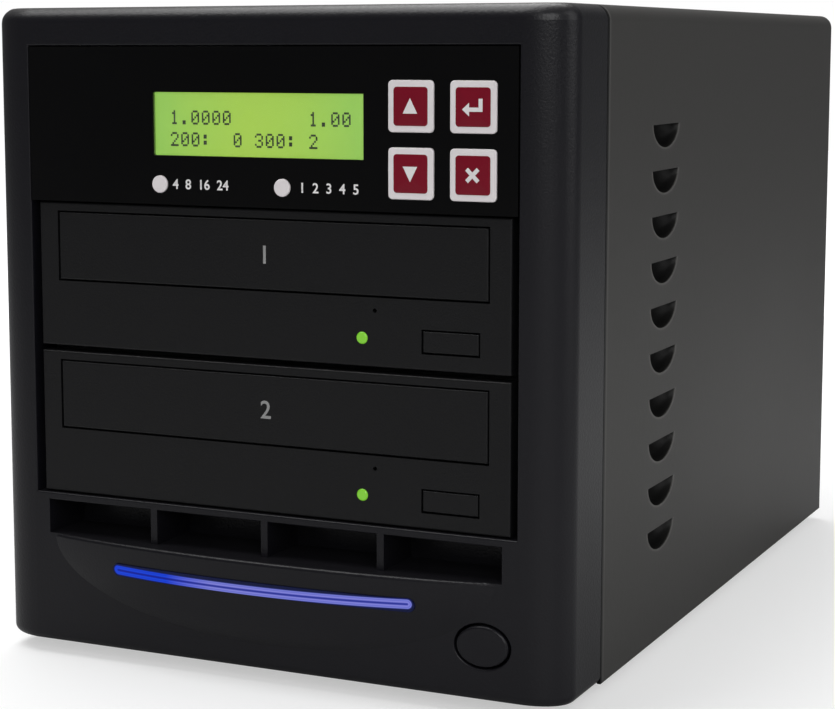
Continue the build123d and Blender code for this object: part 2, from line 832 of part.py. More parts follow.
def make_controller_board():
    level = board_level()
    half = bracket_inner() - controller_side_gap
    top = level + board_thickness
    board = block(-half, half, controller_front, controller_rear, level, top)
    board += block(-12, 14, 78, 104, top, top + 3.0)                # main chip
    board += block(-10, 12, 80, 102, top + 3.0, top + 12.0)         # its heat sink
    for i in range(5):
        board -= block(-8.0 + i * 4.0, -6.0 + i * 4.0, 79, 103, top + 5.0, top + 13.0)
    for i in range(4):
        board += block(-56.0 + i * 20, -44.0 + i * 20, 126, 140, top, top + 9.0)   # data sockets
    for x in (34.0, 46.0, 58.0):
        board += rod("z", x, 56, 4.0, top, top + 11.0)              # capacitors
    board += block(-60, -36, 52, 60, top, top + 8.5)                # panel connector
    board += block(-52, -30, 80, 96, top, top + 1.6)                # memory chip
    return board


def make_light_bar():
    """Clear strip that follows the swollen lip, set a little proud of it."""
    strip = facing_front(bar_outline(0), 0, bar_z, -2 * lip_bulge, bar_depth)
    return strip & (Pos(0, -bar_proud, 0) * lip_ellipsoid(0))


def make_light_bar_board():
    half = bar_length / 2 + bar_board_overhang
    front = bar_board_y
    board = block(-half, half, front, front + board_thickness, bar_z - bar_board_half,
                  bar_z + bar_board_half)
    for i in range(-2, 3):
        x = i * lamp_pitch
        board += block(x - lamp_half_width, x + lamp_half_width, front - lamp_depth, front,
                       bar_z - lamp_half_height, bar_z + lamp_half_height)
    return board


def make_power_button():
    cap = facing_front(power_outline(0), power_x, power_z, -power_proud, power_cap_depth)
    front = cap.faces().sort_by(Axis.Y)[0]
    cap = fillet(front.edges(), power_edge_round)
    return cap + rod("y", power_x, power_z, power_stem, power_stem_front,
                     wall_front - power_stem_end)


def make_power_switch():
    half, y0 = power_switch_half, wall_front - power_switch_depth
    body = block(power_x - half, power_x + half, y0, wall_front, power_z - half, power_z + half)
    return body - rod("y", power_x, power_z, power_stem + shaft_clearance, y0 - 1,
                      wall_front - power_stem_end + power_travel + 1.0)


# ---------------------------------------------------------------- gears
def involute(angle):
    return tan(angle) - angle


def gear_outline():
    """Spur gear with involute teeth, one of them centred on the x axis."""
    pitch_r = gear_pitch_radius
    base_r = pitch_r * cos(radians(pressure_angle))
    tip_r, root_r = pitch_r + gear_module, pitch_r - 1.25 * gear_module
    half_tooth = pi / (2 * gear_teeth) + involute(radians(pressure_angle))
    steps = 4
    flank = []
    for i in range(steps + 1):
        r = base_r + (tip_r - base_r) * i / steps
        flank.append((r, half_tooth - involute(acos(min(1.0, base_r / r)))))
    flank.insert(0, (root_r, flank[0][1]))
    points = []
    for k in range(gear_teeth):
        middle = 2 * pi * k / gear_teeth
        points += [(r * cos(middle - a), r * sin(middle - a)) for r, a in flank]
        points += [(r * cos(middle + a), r * sin(middle + a)) for r, a in reversed(flank)]
    return make_face(Polyline(points, close=True))


def make_gear(x, y, z0, z1):
    """A moulded gear that turns on a fixed pin."""
    teeth = extrude(gear_outline(), z1 - z0)
    return Pos(x, y, z0) * teeth - rod("z", x, y, gear_pin + shaft_clearance, z0 - 1, z1 + 1)


def make_rack(pitch_x, facing, gap_y, y0, y1, z0, z1, back):
    """Straight rack along y; a gap between teeth is centred at gap_y.  facing is +1 or -1."""
    slope = tan(radians(pressure_angle))
    addendum, dedendum = 0.9 * gear_module, 1.25 * gear_module
    at_pitch = (rack_pitch / 2 - gear_backlash) / 2
    tip, root = at_pitch - addendum * slope, at_pitch + dedendum * slope
    first = int((y0 - gap_y) / rack_pitch + 0.5)
    last = int((y1 - gap_y) / rack_pitch - 1.0)
    if y0 > gap_y - rack_pitch:
        first += 1
    root_x, tip_x = pitch_x - facing * dedendum, pitch_x + facing * addendum
    points = [(root_x - facing * back, y0), (root_x, y0)]
    for k in range(first, last + 1):
        y = gap_y + (k + 0.5) * rack_pitch
        points += [(root_x, y - root), (tip_x, y - tip), (tip_x, y + tip), (root_x, y + root)]
    points += [(root_x, y1), (root_x - facing * back, y1)]
    return Pos(0, 0, z0) * extrude(make_face(Polyline(points, close=True)), z1 - z0)


# ---------------------------------------------------------------- disc drive, in its own frame:
# x across, y back from the drive's face, z up from the face's lower edge
def make_drive_bezel():
    half = drive_face_width / 2
    plate = block(-half, half, 0, drive_face_thickness, 0, drive_face_height)
    plate = fillet(plate.faces().sort_by(Axis.Y)[0].edges(), drive_face_round)
    rear = drive_face_thickness + 1
    gap = door_gap
    cuts = [block(-door_half_width - gap, door_half_width + gap, -1, rear, door_bottom - gap,
                  door_top + gap),
            block(eject_left - eject_gap, eject_right + eject_gap, -1, rear,
                  eject_bottom - eject_gap, eject_top + eject_gap),
            rod("y", light_x, light_z, light_radius + shaft_clearance, -1, rear),
            rod("y", pinhole_x, pinhole_z, pinhole_radius, -1, rear)]
    return plate - cuts


def make_tray_door():
    door = block(-door_half_width, door_half_width, 0, door_thickness, door_bottom, door_top)
    return fillet(door.faces().sort_by(Axis.Y)[0].edges(), door_round)


def make_tray():
    front, rear = door_thickness, door_thickness + tray_length
    tray = block(-tray_half_width, tray_half_width, front, rear, tray_bottom, tray_top)
    reach = tray_half_width + tray_rail
    tray += block(-reach, reach, front + tray_rail_front, rear, tray_rail_bottom,
                  tray_rail_bottom + tray_rail_height)
    gear_side = tray_gear_x - gear_pitch_radius
    tray += make_rack(gear_side, 1, tray_gear_y, front + 2, rear - 1,
                      tray_bottom - tray_rack_drop, tray_bottom + foot_bite, tray_rack_back)
    well = disc_radius + disc_play
    small_well = small_disc_radius + disc_play
    cuts = [rod("z", 0, disc_y, well, tray_top - disc_depth, tray_top + 1),
            rod("z", 0, disc_y, small_well, tray_top - small_disc_depth, tray_top + 1),
            block(-window_half_width, window_half_width, window_front, window_rear,
                  tray_bottom - 1, tray_top + 1)]
    for s in (-1, 1):                       # finger notches at the sides of the disc
        notch = rod("z", s * well, disc_y, notch_radius, tray_top - small_disc_depth - 1,
                    tray_top + 1)
        cuts.append(notch & block(notch_edge - tray_half_width, tray_half_width - notch_edge,
                                  0, tray_length, tray_bottom, tray_top + 1))
    return tray - cuts


def make_eject_button():
    cap = block(eject_left, eject_right, 0, eject_depth, eject_bottom, eject_top)
    cap = fillet(cap.faces().sort_by(Axis.Y)[0].edges(), eject_round)
    middle = (eject_left + eject_right) / 2
    return cap + block(middle - eject_stem_half, middle + eject_stem_half,
                       eject_depth - foot_bite, eject_stem_rear,
                       eject_bottom + eject_stem_inset, eject_top - eject_stem_inset)


def make_status_lens():
    lens = rod("y", light_x, light_z, light_radius, -light_proud, light_depth)
    return fillet(lens.faces().sort_by(Axis.Y)[0].edges(), light_round)


def make_drive_case():
    """Folded steel shell, open at the front and below, and its flat bottom cover."""
    half = drive_width / 2
    front, rear = drive_face_thickness + case_gap, drive_depth
    top, low = drive_face_height - case_inset, case_inset
    t = drive_sheet
    shell = block(-half, half, front, rear, low, top)
    shell -= block(-half + t, half - t, front - 1, rear - t, low - 1, top - t)
    shell -= block(socket_left, socket_right, rear - t - 1, rear + 1, low - 1, socket_top)
    reach, y0, y1 = half - case_panel_inset, front + case_panel_end, rear - case_panel_end
    shell -= block(-reach, reach, y0, y1, top - case_panel_depth, top + 1)
    shell += block(-reach, reach, y0, y1, top - t - case_panel_back, top - t)
    for y in drive_screw_y:
        shell -= rod("x", y, drive_screw_z, screw_hole, -half - 1, half + 1)
    inner = half - t - case_gap
    bottom = block(-inner, inner, front, rear - t - case_gap, low, low + t)
    return [shell, bottom]


def make_drive_chassis():
    """Moulded frame: side walls with the tray's grooves, floor, posts, pins and bridge."""
    half = frame_half_width
    inner = tray_half_width + frame_side_gap
    z0, z1 = frame_floor_bottom, frame_floor_bottom + frame_floor
    wall_top = frame_wall_top
    frame = block(-half, half, frame_front, frame_rear, z0, z1)
    for s in (-1, 1):
        x0, x1 = sorted((s * inner, s * half))
        frame += block(x0, x1, frame_front, frame_rear, z0, wall_top)
    frame += block(-half, half, frame_rear - frame_back_wall, frame_rear, z0,
                   tray_bottom - 1.0)
    under = wall_top + bridge_rise
    y0, y1 = disc_y - bridge_half, disc_y + bridge_half
    frame += block(-half, half, y0, y1, under, under + bridge_thickness)
    for s in (-1, 1):
        x0, x1 = sorted((s * inner, s * half))
        frame += block(x0, x1, y0, y1, wall_top - 1, under + 1)
    reach = tray_half_width + tray_rail + body_gap
    groove_low = tray_rail_bottom - body_gap
    groove_top = tray_rail_bottom + tray_rail_height + body_gap
    cuts = [block(-reach, reach, frame_front - 1, frame_rear + 1, groove_low, groove_top)]
    cuts.append(rod("z", 0, disc_y, clamper_radius() + shaft_clearance, wall_top, wall_top + 6))
    cuts.append(block(light_x - 4, eject_right + 2, frame_front - 1, 26, z0 - 1, z1 + 10))
    foot = z1 - foot_bite
    for x, y, top in ((tray_gear_x, tray_gear_y, tray_gear_top),
                      (sled_gear_x(), sled_gear_y, sled_gear_top)):
        frame += rod("z", x, y, gear_pin * 2, foot, top - gear_height - body_gap)
        frame += rod("z", x, y, gear_pin, foot, top)
    frame += rod("z", 0, disc_y, motor_post_radius, foot, motor_post_top)
    for s in (-1, 1):
        for y in rod_post_places():
            frame += block(s * rod_x - rod_post_half, s * rod_x + rod_post_half, y,
                           y + rod_post, foot, rod_z + rod_post_cap)
            cuts.append(rod("y", s * rod_x, rod_z, rod_radius, y - 1, y + rod_post + 1))
        for y in leg_places:                # short legs down to the drive's board
            frame += rod("z", s * leg_x, y, leg_radius, board_z() + board_thickness,
                         z0 + foot_bite)
    cuts.append(rod("z", 0, disc_y, spindle_radius + shaft_clearance, z0 + 1.0,
                    spindle_hole_top))
    return frame - cuts


def rod_post_places():
    """Front faces of the posts that hold the guide rods."""
    return (sled_inner - rod_front_reach, sled_inner + sled_travel + rod_rear_reach)


def clamper_radius():
    return hub_radius + clamper_extra


def board_z():
    """Underside of the drive's board."""
    return frame_floor_bottom - 0.8 - board_thickness


def make_guide_rods():
    y0, y1 = rod_post_places()
    return [rod("y", s * rod_x, rod_z, rod_radius, y0, y1 + rod_post) for s in (-1, 1)]


def make_clamper():
    """Disc clamp: a puck hung by its flange in the bridge over the tray."""
    top = frame_wall_top + bridge_rise + bridge_thickness
    puck = rod("z", 0, disc_y, clamper_radius(), top - clamper_reach, top + clamper_lift)
    return puck + rod("z", 0, disc_y, clamper_radius() + clamper_flange, top,
                      top + clamper_flange_thickness)


def make_motors():
    """Two small can motors on the drive's floor, one for the tray and one for the sled."""
    floor = frame_floor_bottom + frame_floor
    motors = []
    top = floor + can_height
    for x, y in can_places:
        can = rod("z", x, y, can_radius, floor, top)
        motors.append(can + rod("z", x, y, can_cap_radius, top - foot_bite,
                                top + can_cap_height))
    return motors


def make_drive_board():
    z0, z1 = board_z(), board_z() + board_thickness
    half = frame_half_width - 2.5
    board = block(-half, half, 14, 158, z0, z1)
    board += block(14, 58, 158, drive_depth + 0.5, z0, z1)
    board += block(16, 34, 161.5, drive_depth + 0.5, z1 - 0.5, z1 + 5)    # data socket
    board += block(37, 56, 161.5, drive_depth + 0.5, z1 - 0.5, z1 + 5)    # power socket
    middle = (eject_left + eject_right) / 2
    board += block(middle - 4, middle + 4, 14.2, 19, z1 - 0.5, eject_top)
    board += block(light_x - 2.5, light_x + 2.5, 14, 17, z1 - 0.5, light_z + 2)
    board += block(-20, 4, 90, 112, z0 - 0.7, z0)
    board += block(-50, -38, 60, 76, z0 - 0.7, z0)
    return board


def make_spindle():
    """Disc motor's turning part: shaft, rotor can, turntable and centring hub."""
    spin = rod("z", 0, disc_y, spindle_radius, frame_floor_bottom + 1.3, hub_top - 1)
    under = turntable_top - turntable_thickness
    spin += rod("z", 0, disc_y, motor_radius, rotor_bottom, under + 0.1)
    spin += rod("z", 0, disc_y, turntable_radius, under, turntable_top)
    hub = rod("z", 0, disc_y, hub_radius, turntable_top - 0.1, hub_top)
    hub = chamfer(hub.edges().filter_by(GeomType.CIRCLE).sort_by(Axis.Z)[-1], hub_chamfer)
    return spin + hub


def sled_rack_x():
    """Pitch line of the sled's rack."""
    return -rod_x - sled_rack_offset


def sled_gear_x():
    return sled_rack_x() - gear_pitch_radius


def make_pickup():
    """Laser sled on its two rods, with the lens above and a rack along its left side."""
    y0, y1 = sled_inner - sled_front_reach, sled_inner + sled_rear_reach
    side, half = rod_x + sled_bearing, sled_half_height
    sled = block(-side, side, y0, y1, rod_z - half, rod_z + half)
    ring_top = rod_z + lens_ring_top
    sled += rod("z", 0, sled_inner, lens_ring_radius, rod_z + half - 0.2, ring_top)
    sled += rod("z", 0, sled_inner, lens_radius, ring_top - 0.2, hub_top - lens_under_hub)
    sled += make_rack(sled_rack_x(), -1, sled_gear_y,
                      sled_gear_y - sled_travel - sled_rack_overrun,
                      sled_gear_y + sled_rack_overrun, rod_z - sled_rack_half,
                      rod_z + sled_rack_half, sled_rack_back)
    for s in (-1, 1):
        sled -= rod("y", s * rod_x, rod_z, rod_radius + shaft_clearance, y0 - 1, y1 + 1)
    return sled


def make_drive():
    """Every piece of one drive, by its name in the drive."""
    return {
        "bezel": [make_drive_bezel()], "tray_door": [make_tray_door()], "tray": [make_tray()],
        "eject_button": [make_eject_button()], "case": make_drive_case(),
        "chassis": [make_drive_chassis()], "board": [make_drive_board()],
        "spindle": [make_spindle()], "pickup": [make_pickup()],
        "loading_gear": [make_gear(tray_gear_x, tray_gear_y, tray_gear_top - gear_height,
                                   tray_gear_top)],
        "sled_gear": [make_gear(sled_gear_x(), sled_gear_y, sled_gear_top - gear_height,
                                sled_gear_top)],
    }


# ---------------------------------------------------------------- fans
def strut_thickness(size):
    return 3.0 if size > 60 else 2.0


def make_fan_frame(size, pitch, depth, x, z, rear):
    """Square frame, round bore, and the motor cup on four struts at the back."""
    front = rear - depth
    bore = size * 0.48
    cup = size * 0.2
    frame = block(x - size / 2, x + size / 2, front, rear, z - size / 2, z + size / 2)
    upright = [e for e in frame.edges().filter_by(Axis.Y)]
    frame = fillet(upright, size * 0.04)
    frame -= rod("y", x, z, bore, front - 1, rear + 1)
    strut = strut_thickness(size)
    for turn in (45, 135):
        bar = Box(2 * bore + 1, strut, strut)
        frame += Pos(x, rear - strut / 2, z) * Rot(0, turn, 0) * bar
    frame += rod("y", x, z, cup, rear - strut, rear)
    for hx, hz in fan_screw_places(pitch, x, z):
        frame -= rod("y", hx, hz, screw_hole, front - 1, rear + 1)
    frame -= rod("y", x, z, fan_shaft + shaft_clearance, rear - strut - 1, rear - 0.6)
    return frame


def make_fan_rotor(size, depth, x, z, rear, blades):
    """Hub with curved blades; its shaft runs in the frame's cup."""
    strut = strut_thickness(size)
    tip, hub = size * 0.465, size * 0.22
    front, back = rear - depth + 1.0, rear - strut - 1.0
    rotor = rod("y", 0, 0, hub, front, back)
    rotor = fillet(rotor.faces().sort_by(Axis.Y)[0].edges(), hub * 0.12)
    chord = (back - front) * 0.92
    thick = size * 0.016
    curve = chord * 1.1
    ring = Circle(curve + thick) - Circle(curve)
    window = Pos(curve, 0) * Rectangle(curve * 0.7, chord * 1.05)
    profile = ring & window
    plane = Plane(origin=(0, 0, 0), x_dir=(1, 0, 0), z_dir=(0, 0, 1))
    blade = extrude(plane * (Pos(-curve, 0) * profile), amount=tip * 1.1)
    blade = Rot(0, 0, -40) * blade
    blade = Pos(0, (front + back) / 2, hub * 0.6) * blade
    envelope = rod("y", 0, 0, tip, front + 0.3, back - 0.3)
    blade = blade & (envelope - rod("y", 0, 0, hub * 0.8, front - 1, back + 1))
    for i in range(blades):
        rotor += Rot(0, 360.0 * i / blades, 0) * blade
    rotor += rod("y", 0, 0, fan_shaft, back - 1, rear - 1.0)
    return Pos(x, 0, z) * rotor


def make_fan_guard():
    """Wire guard: rings welded to a cross of wires, held under the fan's four screws."""
    seat = panel_rear_y
    ring_y = seat + guard_wire + guard_wire_gap
    wire_y = ring_y + guard_wire * 1.2
    place = Pos(fan_x, ring_y, fan_z) * Rot(90, 0, 0)
    guard = None
    for radius in guard_radii:
        ring = place * Torus(radius, guard_wire)
        guard = ring if guard is None else guard + ring
    reach = fan_holes_pitch / 2 * sqrt(2)
    for turn in (45, 135):
        bar = Cylinder(guard_wire, 2 * reach - 2 * screw_head_radius)
        guard += Pos(fan_x, wire_y, fan_z) * Rot(0, turn, 0) * bar
    for x, z in fan_screw_places(fan_holes_pitch, fan_x, fan_z):
        eyelet = rod("y", x, z, screw_head_radius + eyelet_rim, seat,
                     seat + eyelet_height)
        guard += eyelet
    for x, z in fan_screw_places(fan_holes_pitch, fan_x, fan_z):
        guard -= rod("y", x, z, screw_hole, seat - 1, seat + 5)
    return guard


# ---------------------------------------------------------------- power supply
def psu_limits():
    return psu_x - psu_width / 2, psu_x + psu_width / 2, panel_inner_y - psu_length, sheet


def make_psu_case():
    """Folded base with front and rear walls, and a lid over it."""
    x0, x1, y0, z0 = psu_limits()
    y1, z1, t = panel_inner_y, sheet + psu_height, psu_sheet
    base = block(x0 + t, x1 - t, y0, y1, z0, z0 + t)
    base += block(x0 + t, x1 - t, y0, y0 + t, z0, z1 - t)
    base += block(x0 + t, x1 - t, y1 - t, y1, z0, z1 - t)
    middle = z0 + psu_height / 2
    half_x, half_z = inlet_width / 2 - inlet_hole_inset, inlet_height / 2 - inlet_hole_inset
    cuts = [rod("y", psu_x + psu_fan_offset, middle, psu_fan_size * 0.46, y1 - t - 1, y1 + 1),
            block(psu_x + inlet_offset - half_x, psu_x + inlet_offset + half_x, y1 - t - 1,
                  y1 + 1, middle - half_z, middle + half_z)]
    for x, z in psu_screw_places():
        cuts.append(rod("y", x, z, screw_hole, y1 - t - 1, y1 + 1))
    for i in range(psu_vents):
        x = x0 + 12 + i * psu_vent_pitch
        cuts.append(block(x - 1.2, x + 1.2, y0 - 1, y0 + t + 1, z0 + 10, z0 + 30))
    base -= cuts
    lid = block(x0, x1, y0, y1, z0, z1) - block(x0 + t, x1 - t, y0 - 1, y1 + 1, z0 - 1, z1 - t)
    return [base, lid]


def make_psu_board():
    """Board on four standoffs, with its transformer, coil, capacitors and heat sinks."""
    x0, x1, y0, z0 = psu_limits()
    floor = z0 + psu_sheet
    level = floor + psu_board_level
    rear = panel_inner_y - psu_fan_depth - 22.0
    top = level + board_thickness
    board = block(x0 + 3, x1 - 3, y0 + 4, rear, level, top)
    for x in (x0 + 8, x1 - 8):
        for y in (y0 + 9, rear - 5):
            board += rod("z", x, y, 2.5, floor, level + 0.5)
    board += block(psu_x - 13, psu_x + 13, y0 + 40, y0 + 62, top, top + 26)
    board += rod("x", y0 + 80, top + 11.5, 11, psu_x + 10, psu_x + 22)
    board += block(psu_x + 10, psu_x + 22, y0 + 76, y0 + 84, top - 0.5, top + 4)
    for s in (-1, 1):
        board += block(psu_x + s * 27 - 1.5, psu_x + s * 27 + 1.5, y0 + 14, y0 + 70, top, top + 28)
    for i in range(4):
        board += rod("z", psu_x - 15 + i * 10, y0 + 20, 4.0, top, top + 20)
    board += rod("z", psu_x - 16, y0 + 86, 9.0, top, top + 27)
    return board


def make_mains_inlet():
    """Moulded inlet: a socket with three blades below, the switch's frame above."""
    middle = sheet + psu_height / 2
    x = psu_x + inlet_offset
    flange_front, flange_rear = panel_inner_y, panel_rear_y + inlet_flange
    x0, x1 = x - inlet_width / 2, x + inlet_width / 2
    z0, z1 = middle - inlet_height / 2, middle + inlet_height / 2
    inlet = block(x0, x1, flange_front, flange_rear, z0, z1)
    inlet = fillet(inlet.edges().filter_by(Axis.Y), inlet_round)
    inset = inlet_body_inset
    inlet += block(x0 + inset, x1 - inset, flange_rear - socket_depth - 3, flange_front + 0.5,
                   z0 + inset, z1 - inset)
    sz = socket_centre_z()
    mouth = block(x - socket_width / 2, x + socket_width / 2, flange_rear - socket_depth,
                  flange_rear + 1, sz - socket_height / 2, sz + socket_height / 2)
    mouth = chamfer(mouth.edges().filter_by(Axis.Y).sort_by(Axis.Z)[-2:], socket_chamfer)
    inlet -= mouth
    rz = rocker_centre_z()
    inlet -= block(x - rocker_width / 2 - body_gap, x + rocker_width / 2 + body_gap,
                   flange_rear - rocker_half - rocker_back, flange_rear + 1,
                   rz - rocker_half - body_gap, rz + rocker_half + body_gap)
    for dx, dz in blade_places:
        inlet += block(x + dx - blade_half_width, x + dx + blade_half_width,
                       flange_rear - socket_depth - 1, flange_rear - 3,
                       sz + dz - blade_half_height, sz + dz + blade_half_height)
    for s in (-1, 1):                     # pins the rocker tilts on
        px = x + s * (rocker_width / 2 + body_gap)
        tip = x + s * (rocker_width / 2 - rocker_pin_length)
        inlet += rod("x", rocker_pivot_y(), rz, rocker_pin, min(px, tip) - 0.1,
                     max(px, tip) + 0.1)
    return inlet


def socket_centre_z():
    return sheet + psu_height / 2 - inlet_height / 2 + socket_height / 2 + socket_edge


def rocker_centre_z():
    return sheet + psu_height / 2 + inlet_height / 2 - rocker_half - rocker_edge


def rocker_pivot_y():
    return panel_rear_y - rocker_pivot_depth


def make_mains_rocker():
    """Rocker: a dished face outside, a round back, tilted to one side at rest."""
    x, y, z = psu_x + inlet_offset, rocker_pivot_y(), rocker_centre_z()
    face, dish = rocker_face, rocker_half * tan(radians(rocker_tilt))
    back, reach = -rocker_back, rocker_half + 1
    outline = [(back, -reach), (face, -reach), (face - dish, 0), (face, reach), (back, reach)]
    side = Plane(origin=(x - rocker_width / 2, y, z), x_dir=(0, 1, 0), z_dir=(1, 0, 0))
    body = extrude(side * make_face(Polyline(outline, close=True)), amount=rocker_width)
    body &= rod("x", y, z, rocker_half, x - rocker_width, x + rocker_width)
    for s in (-1, 1):
        end = x + s * rocker_width / 2
        inner = x + s * (rocker_width / 2 - rocker_socket)
        body -= rod("x", y, z, rocker_pin + shaft_clearance, min(end, inner) - 0.1,
                    max(end, inner) + 0.1)
    return Pos(0, y, z) * Rot(rocker_tilt, 0, 0) * Pos(0, -y, -z) * body


# ---------------------------------------------------------------- write every node
def main():
    os.makedirs("parts", exist_ok=True)
    write_node("front_bezel", make_front_bezel())
    write_node("top_cover", make_top_cover())
    write_node("base_chassis", make_base_chassis())
    write_node("rear_panel", make_rear_panel())
    write_node("bay_bracket_left", make_bay_bracket(-1))
    write_node("bay_bracket_right", make_bay_bracket(1))
    write_node("rubber_feet", *make_rubber_feet())
    write_node("case_screws", *make_case_screws())
    write_node("drive_screws", *make_drive_screws())
    write_node("control_panel", make_control_panel())
    write_node("lcd_window", make_lcd_window())
    write_node("lcd_module", make_lcd_module())
    for name, (x, z) in key_places().items():
        write_node(name, make_key(x, z))
    for i, x in enumerate(function_key_x):
        write_node(f"function_key_{i + 1}", make_function_key(x))
    write_node("keypad_board", make_keypad_board())
    write_node("controller_board", make_controller_board())
    write_node("light_bar", make_light_bar())
    write_node("light_bar_board", make_light_bar_board())
    write_node("power_button", make_power_button())
    write_node("power_switch", make_power_switch())
    places = {name: Pos(0, drive_setback, level) for name, level in drive_levels.items()}
    drive = make_drive()
    for name, place in places.items():
        for piece, solids in drive.items():
            write_node(f"{name}_drive_{piece}", *[place * s for s in solids])
    shared = {"drive_status_lenses": [make_status_lens()], "drive_guide_rods": make_guide_rods(),
              "drive_clampers": [make_clamper()], "drive_motors": make_motors()}
    for name, solids in shared.items():
        write_node(name, *[place * s for place in places.values() for s in solids])
    psu_fan = (psu_fan_depth, psu_x + psu_fan_offset, sheet + psu_height / 2,
               panel_inner_y - psu_sheet)
    write_node("psu_case", *make_psu_case())
    write_node("psu_board", make_psu_board())
    write_node("psu_fan_frame", make_fan_frame(psu_fan_size, psu_fan_holes, *psu_fan))
    write_node("psu_fan_rotor", make_fan_rotor(psu_fan_size, *psu_fan, 5))
    write_node("mains_inlet", make_mains_inlet())
    write_node("mains_rocker", make_mains_rocker())
    rear_fan = (fan_depth, fan_x, fan_z, panel_inner_y)
    write_node("rear_fan_frame", make_fan_frame(fan_size, fan_holes_pitch, *rear_fan))
    write_node("rear_fan_rotor", make_fan_rotor(fan_size, *rear_fan, 7))
    write_node("rear_fan_guard", make_fan_guard())


main()
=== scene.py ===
from math import cos, pi, radians, sin

import bmesh
import bpy
import numpy as np
from mathutils import Matrix, Vector


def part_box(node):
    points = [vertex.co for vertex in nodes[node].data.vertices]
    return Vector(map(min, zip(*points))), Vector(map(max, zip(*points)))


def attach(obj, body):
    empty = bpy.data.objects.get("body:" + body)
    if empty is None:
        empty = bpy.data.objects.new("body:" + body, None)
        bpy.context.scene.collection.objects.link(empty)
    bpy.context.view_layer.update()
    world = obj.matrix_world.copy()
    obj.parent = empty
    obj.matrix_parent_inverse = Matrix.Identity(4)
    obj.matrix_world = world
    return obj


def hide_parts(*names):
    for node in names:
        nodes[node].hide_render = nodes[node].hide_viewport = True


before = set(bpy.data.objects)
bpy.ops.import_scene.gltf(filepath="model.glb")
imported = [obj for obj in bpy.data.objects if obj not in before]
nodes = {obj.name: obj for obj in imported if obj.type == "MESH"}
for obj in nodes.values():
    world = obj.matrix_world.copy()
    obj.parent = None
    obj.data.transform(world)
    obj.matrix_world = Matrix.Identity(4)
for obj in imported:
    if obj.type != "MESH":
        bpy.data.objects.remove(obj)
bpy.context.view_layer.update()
MM = 0.001

# ------------------------------------------------------------------ studio
# A pale floor under soft lamps: one large overhead, one to the right and one in front.  The camera
# stands where the photograph was taken from, to the right of the machine and a little above its
# middle.
front_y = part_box("control_panel")[0].y      # the bezel's flat front
base_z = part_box("front_bezel")[0].z         # the case's lower edge, over the feet


def put(tree, kind, inputs=None, **settings):
    """Add a shader node; settings are its properties, inputs are values or sockets by name."""
    node = tree.nodes.new(kind)
    for key, value in settings.items():
        setattr(node, key, value)
    for key, value in (inputs or {}).items():
        if isinstance(value, bpy.types.NodeSocket):
            tree.links.new(value, node.inputs[key])
        else:
            node.inputs[key].default_value = value
    return node


def reckon(tree, kind, *values):
    """One Math node over values or sockets; returns its result."""
    return put(tree, "ShaderNodeMath", dict(enumerate(values)), operation=kind).outputs[0]


def object_place(tree):
    """The point's own place, unmoved by the pose."""
    return put(tree, "ShaderNodeTexCoord").outputs["Object"]


def place_axes(tree):
    """That place as three numbers, X, Y and Z."""
    return put(tree, "ShaderNodeSeparateXYZ", {"Vector": object_place(tree)}).outputs


def ranged(tree, value, start, end, low, high):
    """Low up to start, high from end on, and a straight run between."""
    return put(tree, "ShaderNodeMapRange", {"Value": value, 1: start, 2: end, 3: low,
                                            4: high}).outputs[0]


def blend(tree, share, first, second):
    """First where the share is zero, second where it is one."""
    return put(tree, "ShaderNodeMix", {"Factor": share, 6: first, 7: second},
               data_type="RGBA").outputs[2]


def soft_lamp(name, place, target, width, height, power):
    """A rectangular lamp that faces target."""
    lamp = bpy.data.lights.new(name, "AREA")
    lamp.shape = "RECTANGLE"
    lamp.size, lamp.size_y, lamp.energy = width, height, power
    holder = bpy.data.objects.new(name, lamp)
    bpy.context.scene.collection.objects.link(holder)
    holder.location = place
    holder.rotation_euler = (Vector(target) - Vector(place)).to_track_quat("-Z", "Y").to_euler()
    return holder


def make_world():
    """A pale sky: white where it is seen, also through a clear pane, and dimmer as a light."""
    world = bpy.data.worlds.new("studio_sky")
    world.use_nodes = True
    bpy.context.scene.world = world
    tree = world.node_tree
    tree.nodes.clear()
    sky_as_light, sky_as_seen = 0.14, 1.0
    fill = put(tree, "ShaderNodeBackground", {"Color": (0.97, 0.98, 1.0, 1),
                                              "Strength": sky_as_light})
    seen = put(tree, "ShaderNodeBackground", {"Color": (1, 1, 1, 1), "Strength": sky_as_seen})
    path = put(tree, "ShaderNodeLightPath").outputs
    direct = reckon(tree, "MAXIMUM", path["Is Camera Ray"], path["Is Transmission Ray"])
    mix = put(tree, "ShaderNodeMixShader", {"Fac": direct, 1: fill.outputs[0],
                                            2: seen.outputs[0]})
    put(tree, "ShaderNodeOutputWorld", {"Surface": mix.outputs[0]})


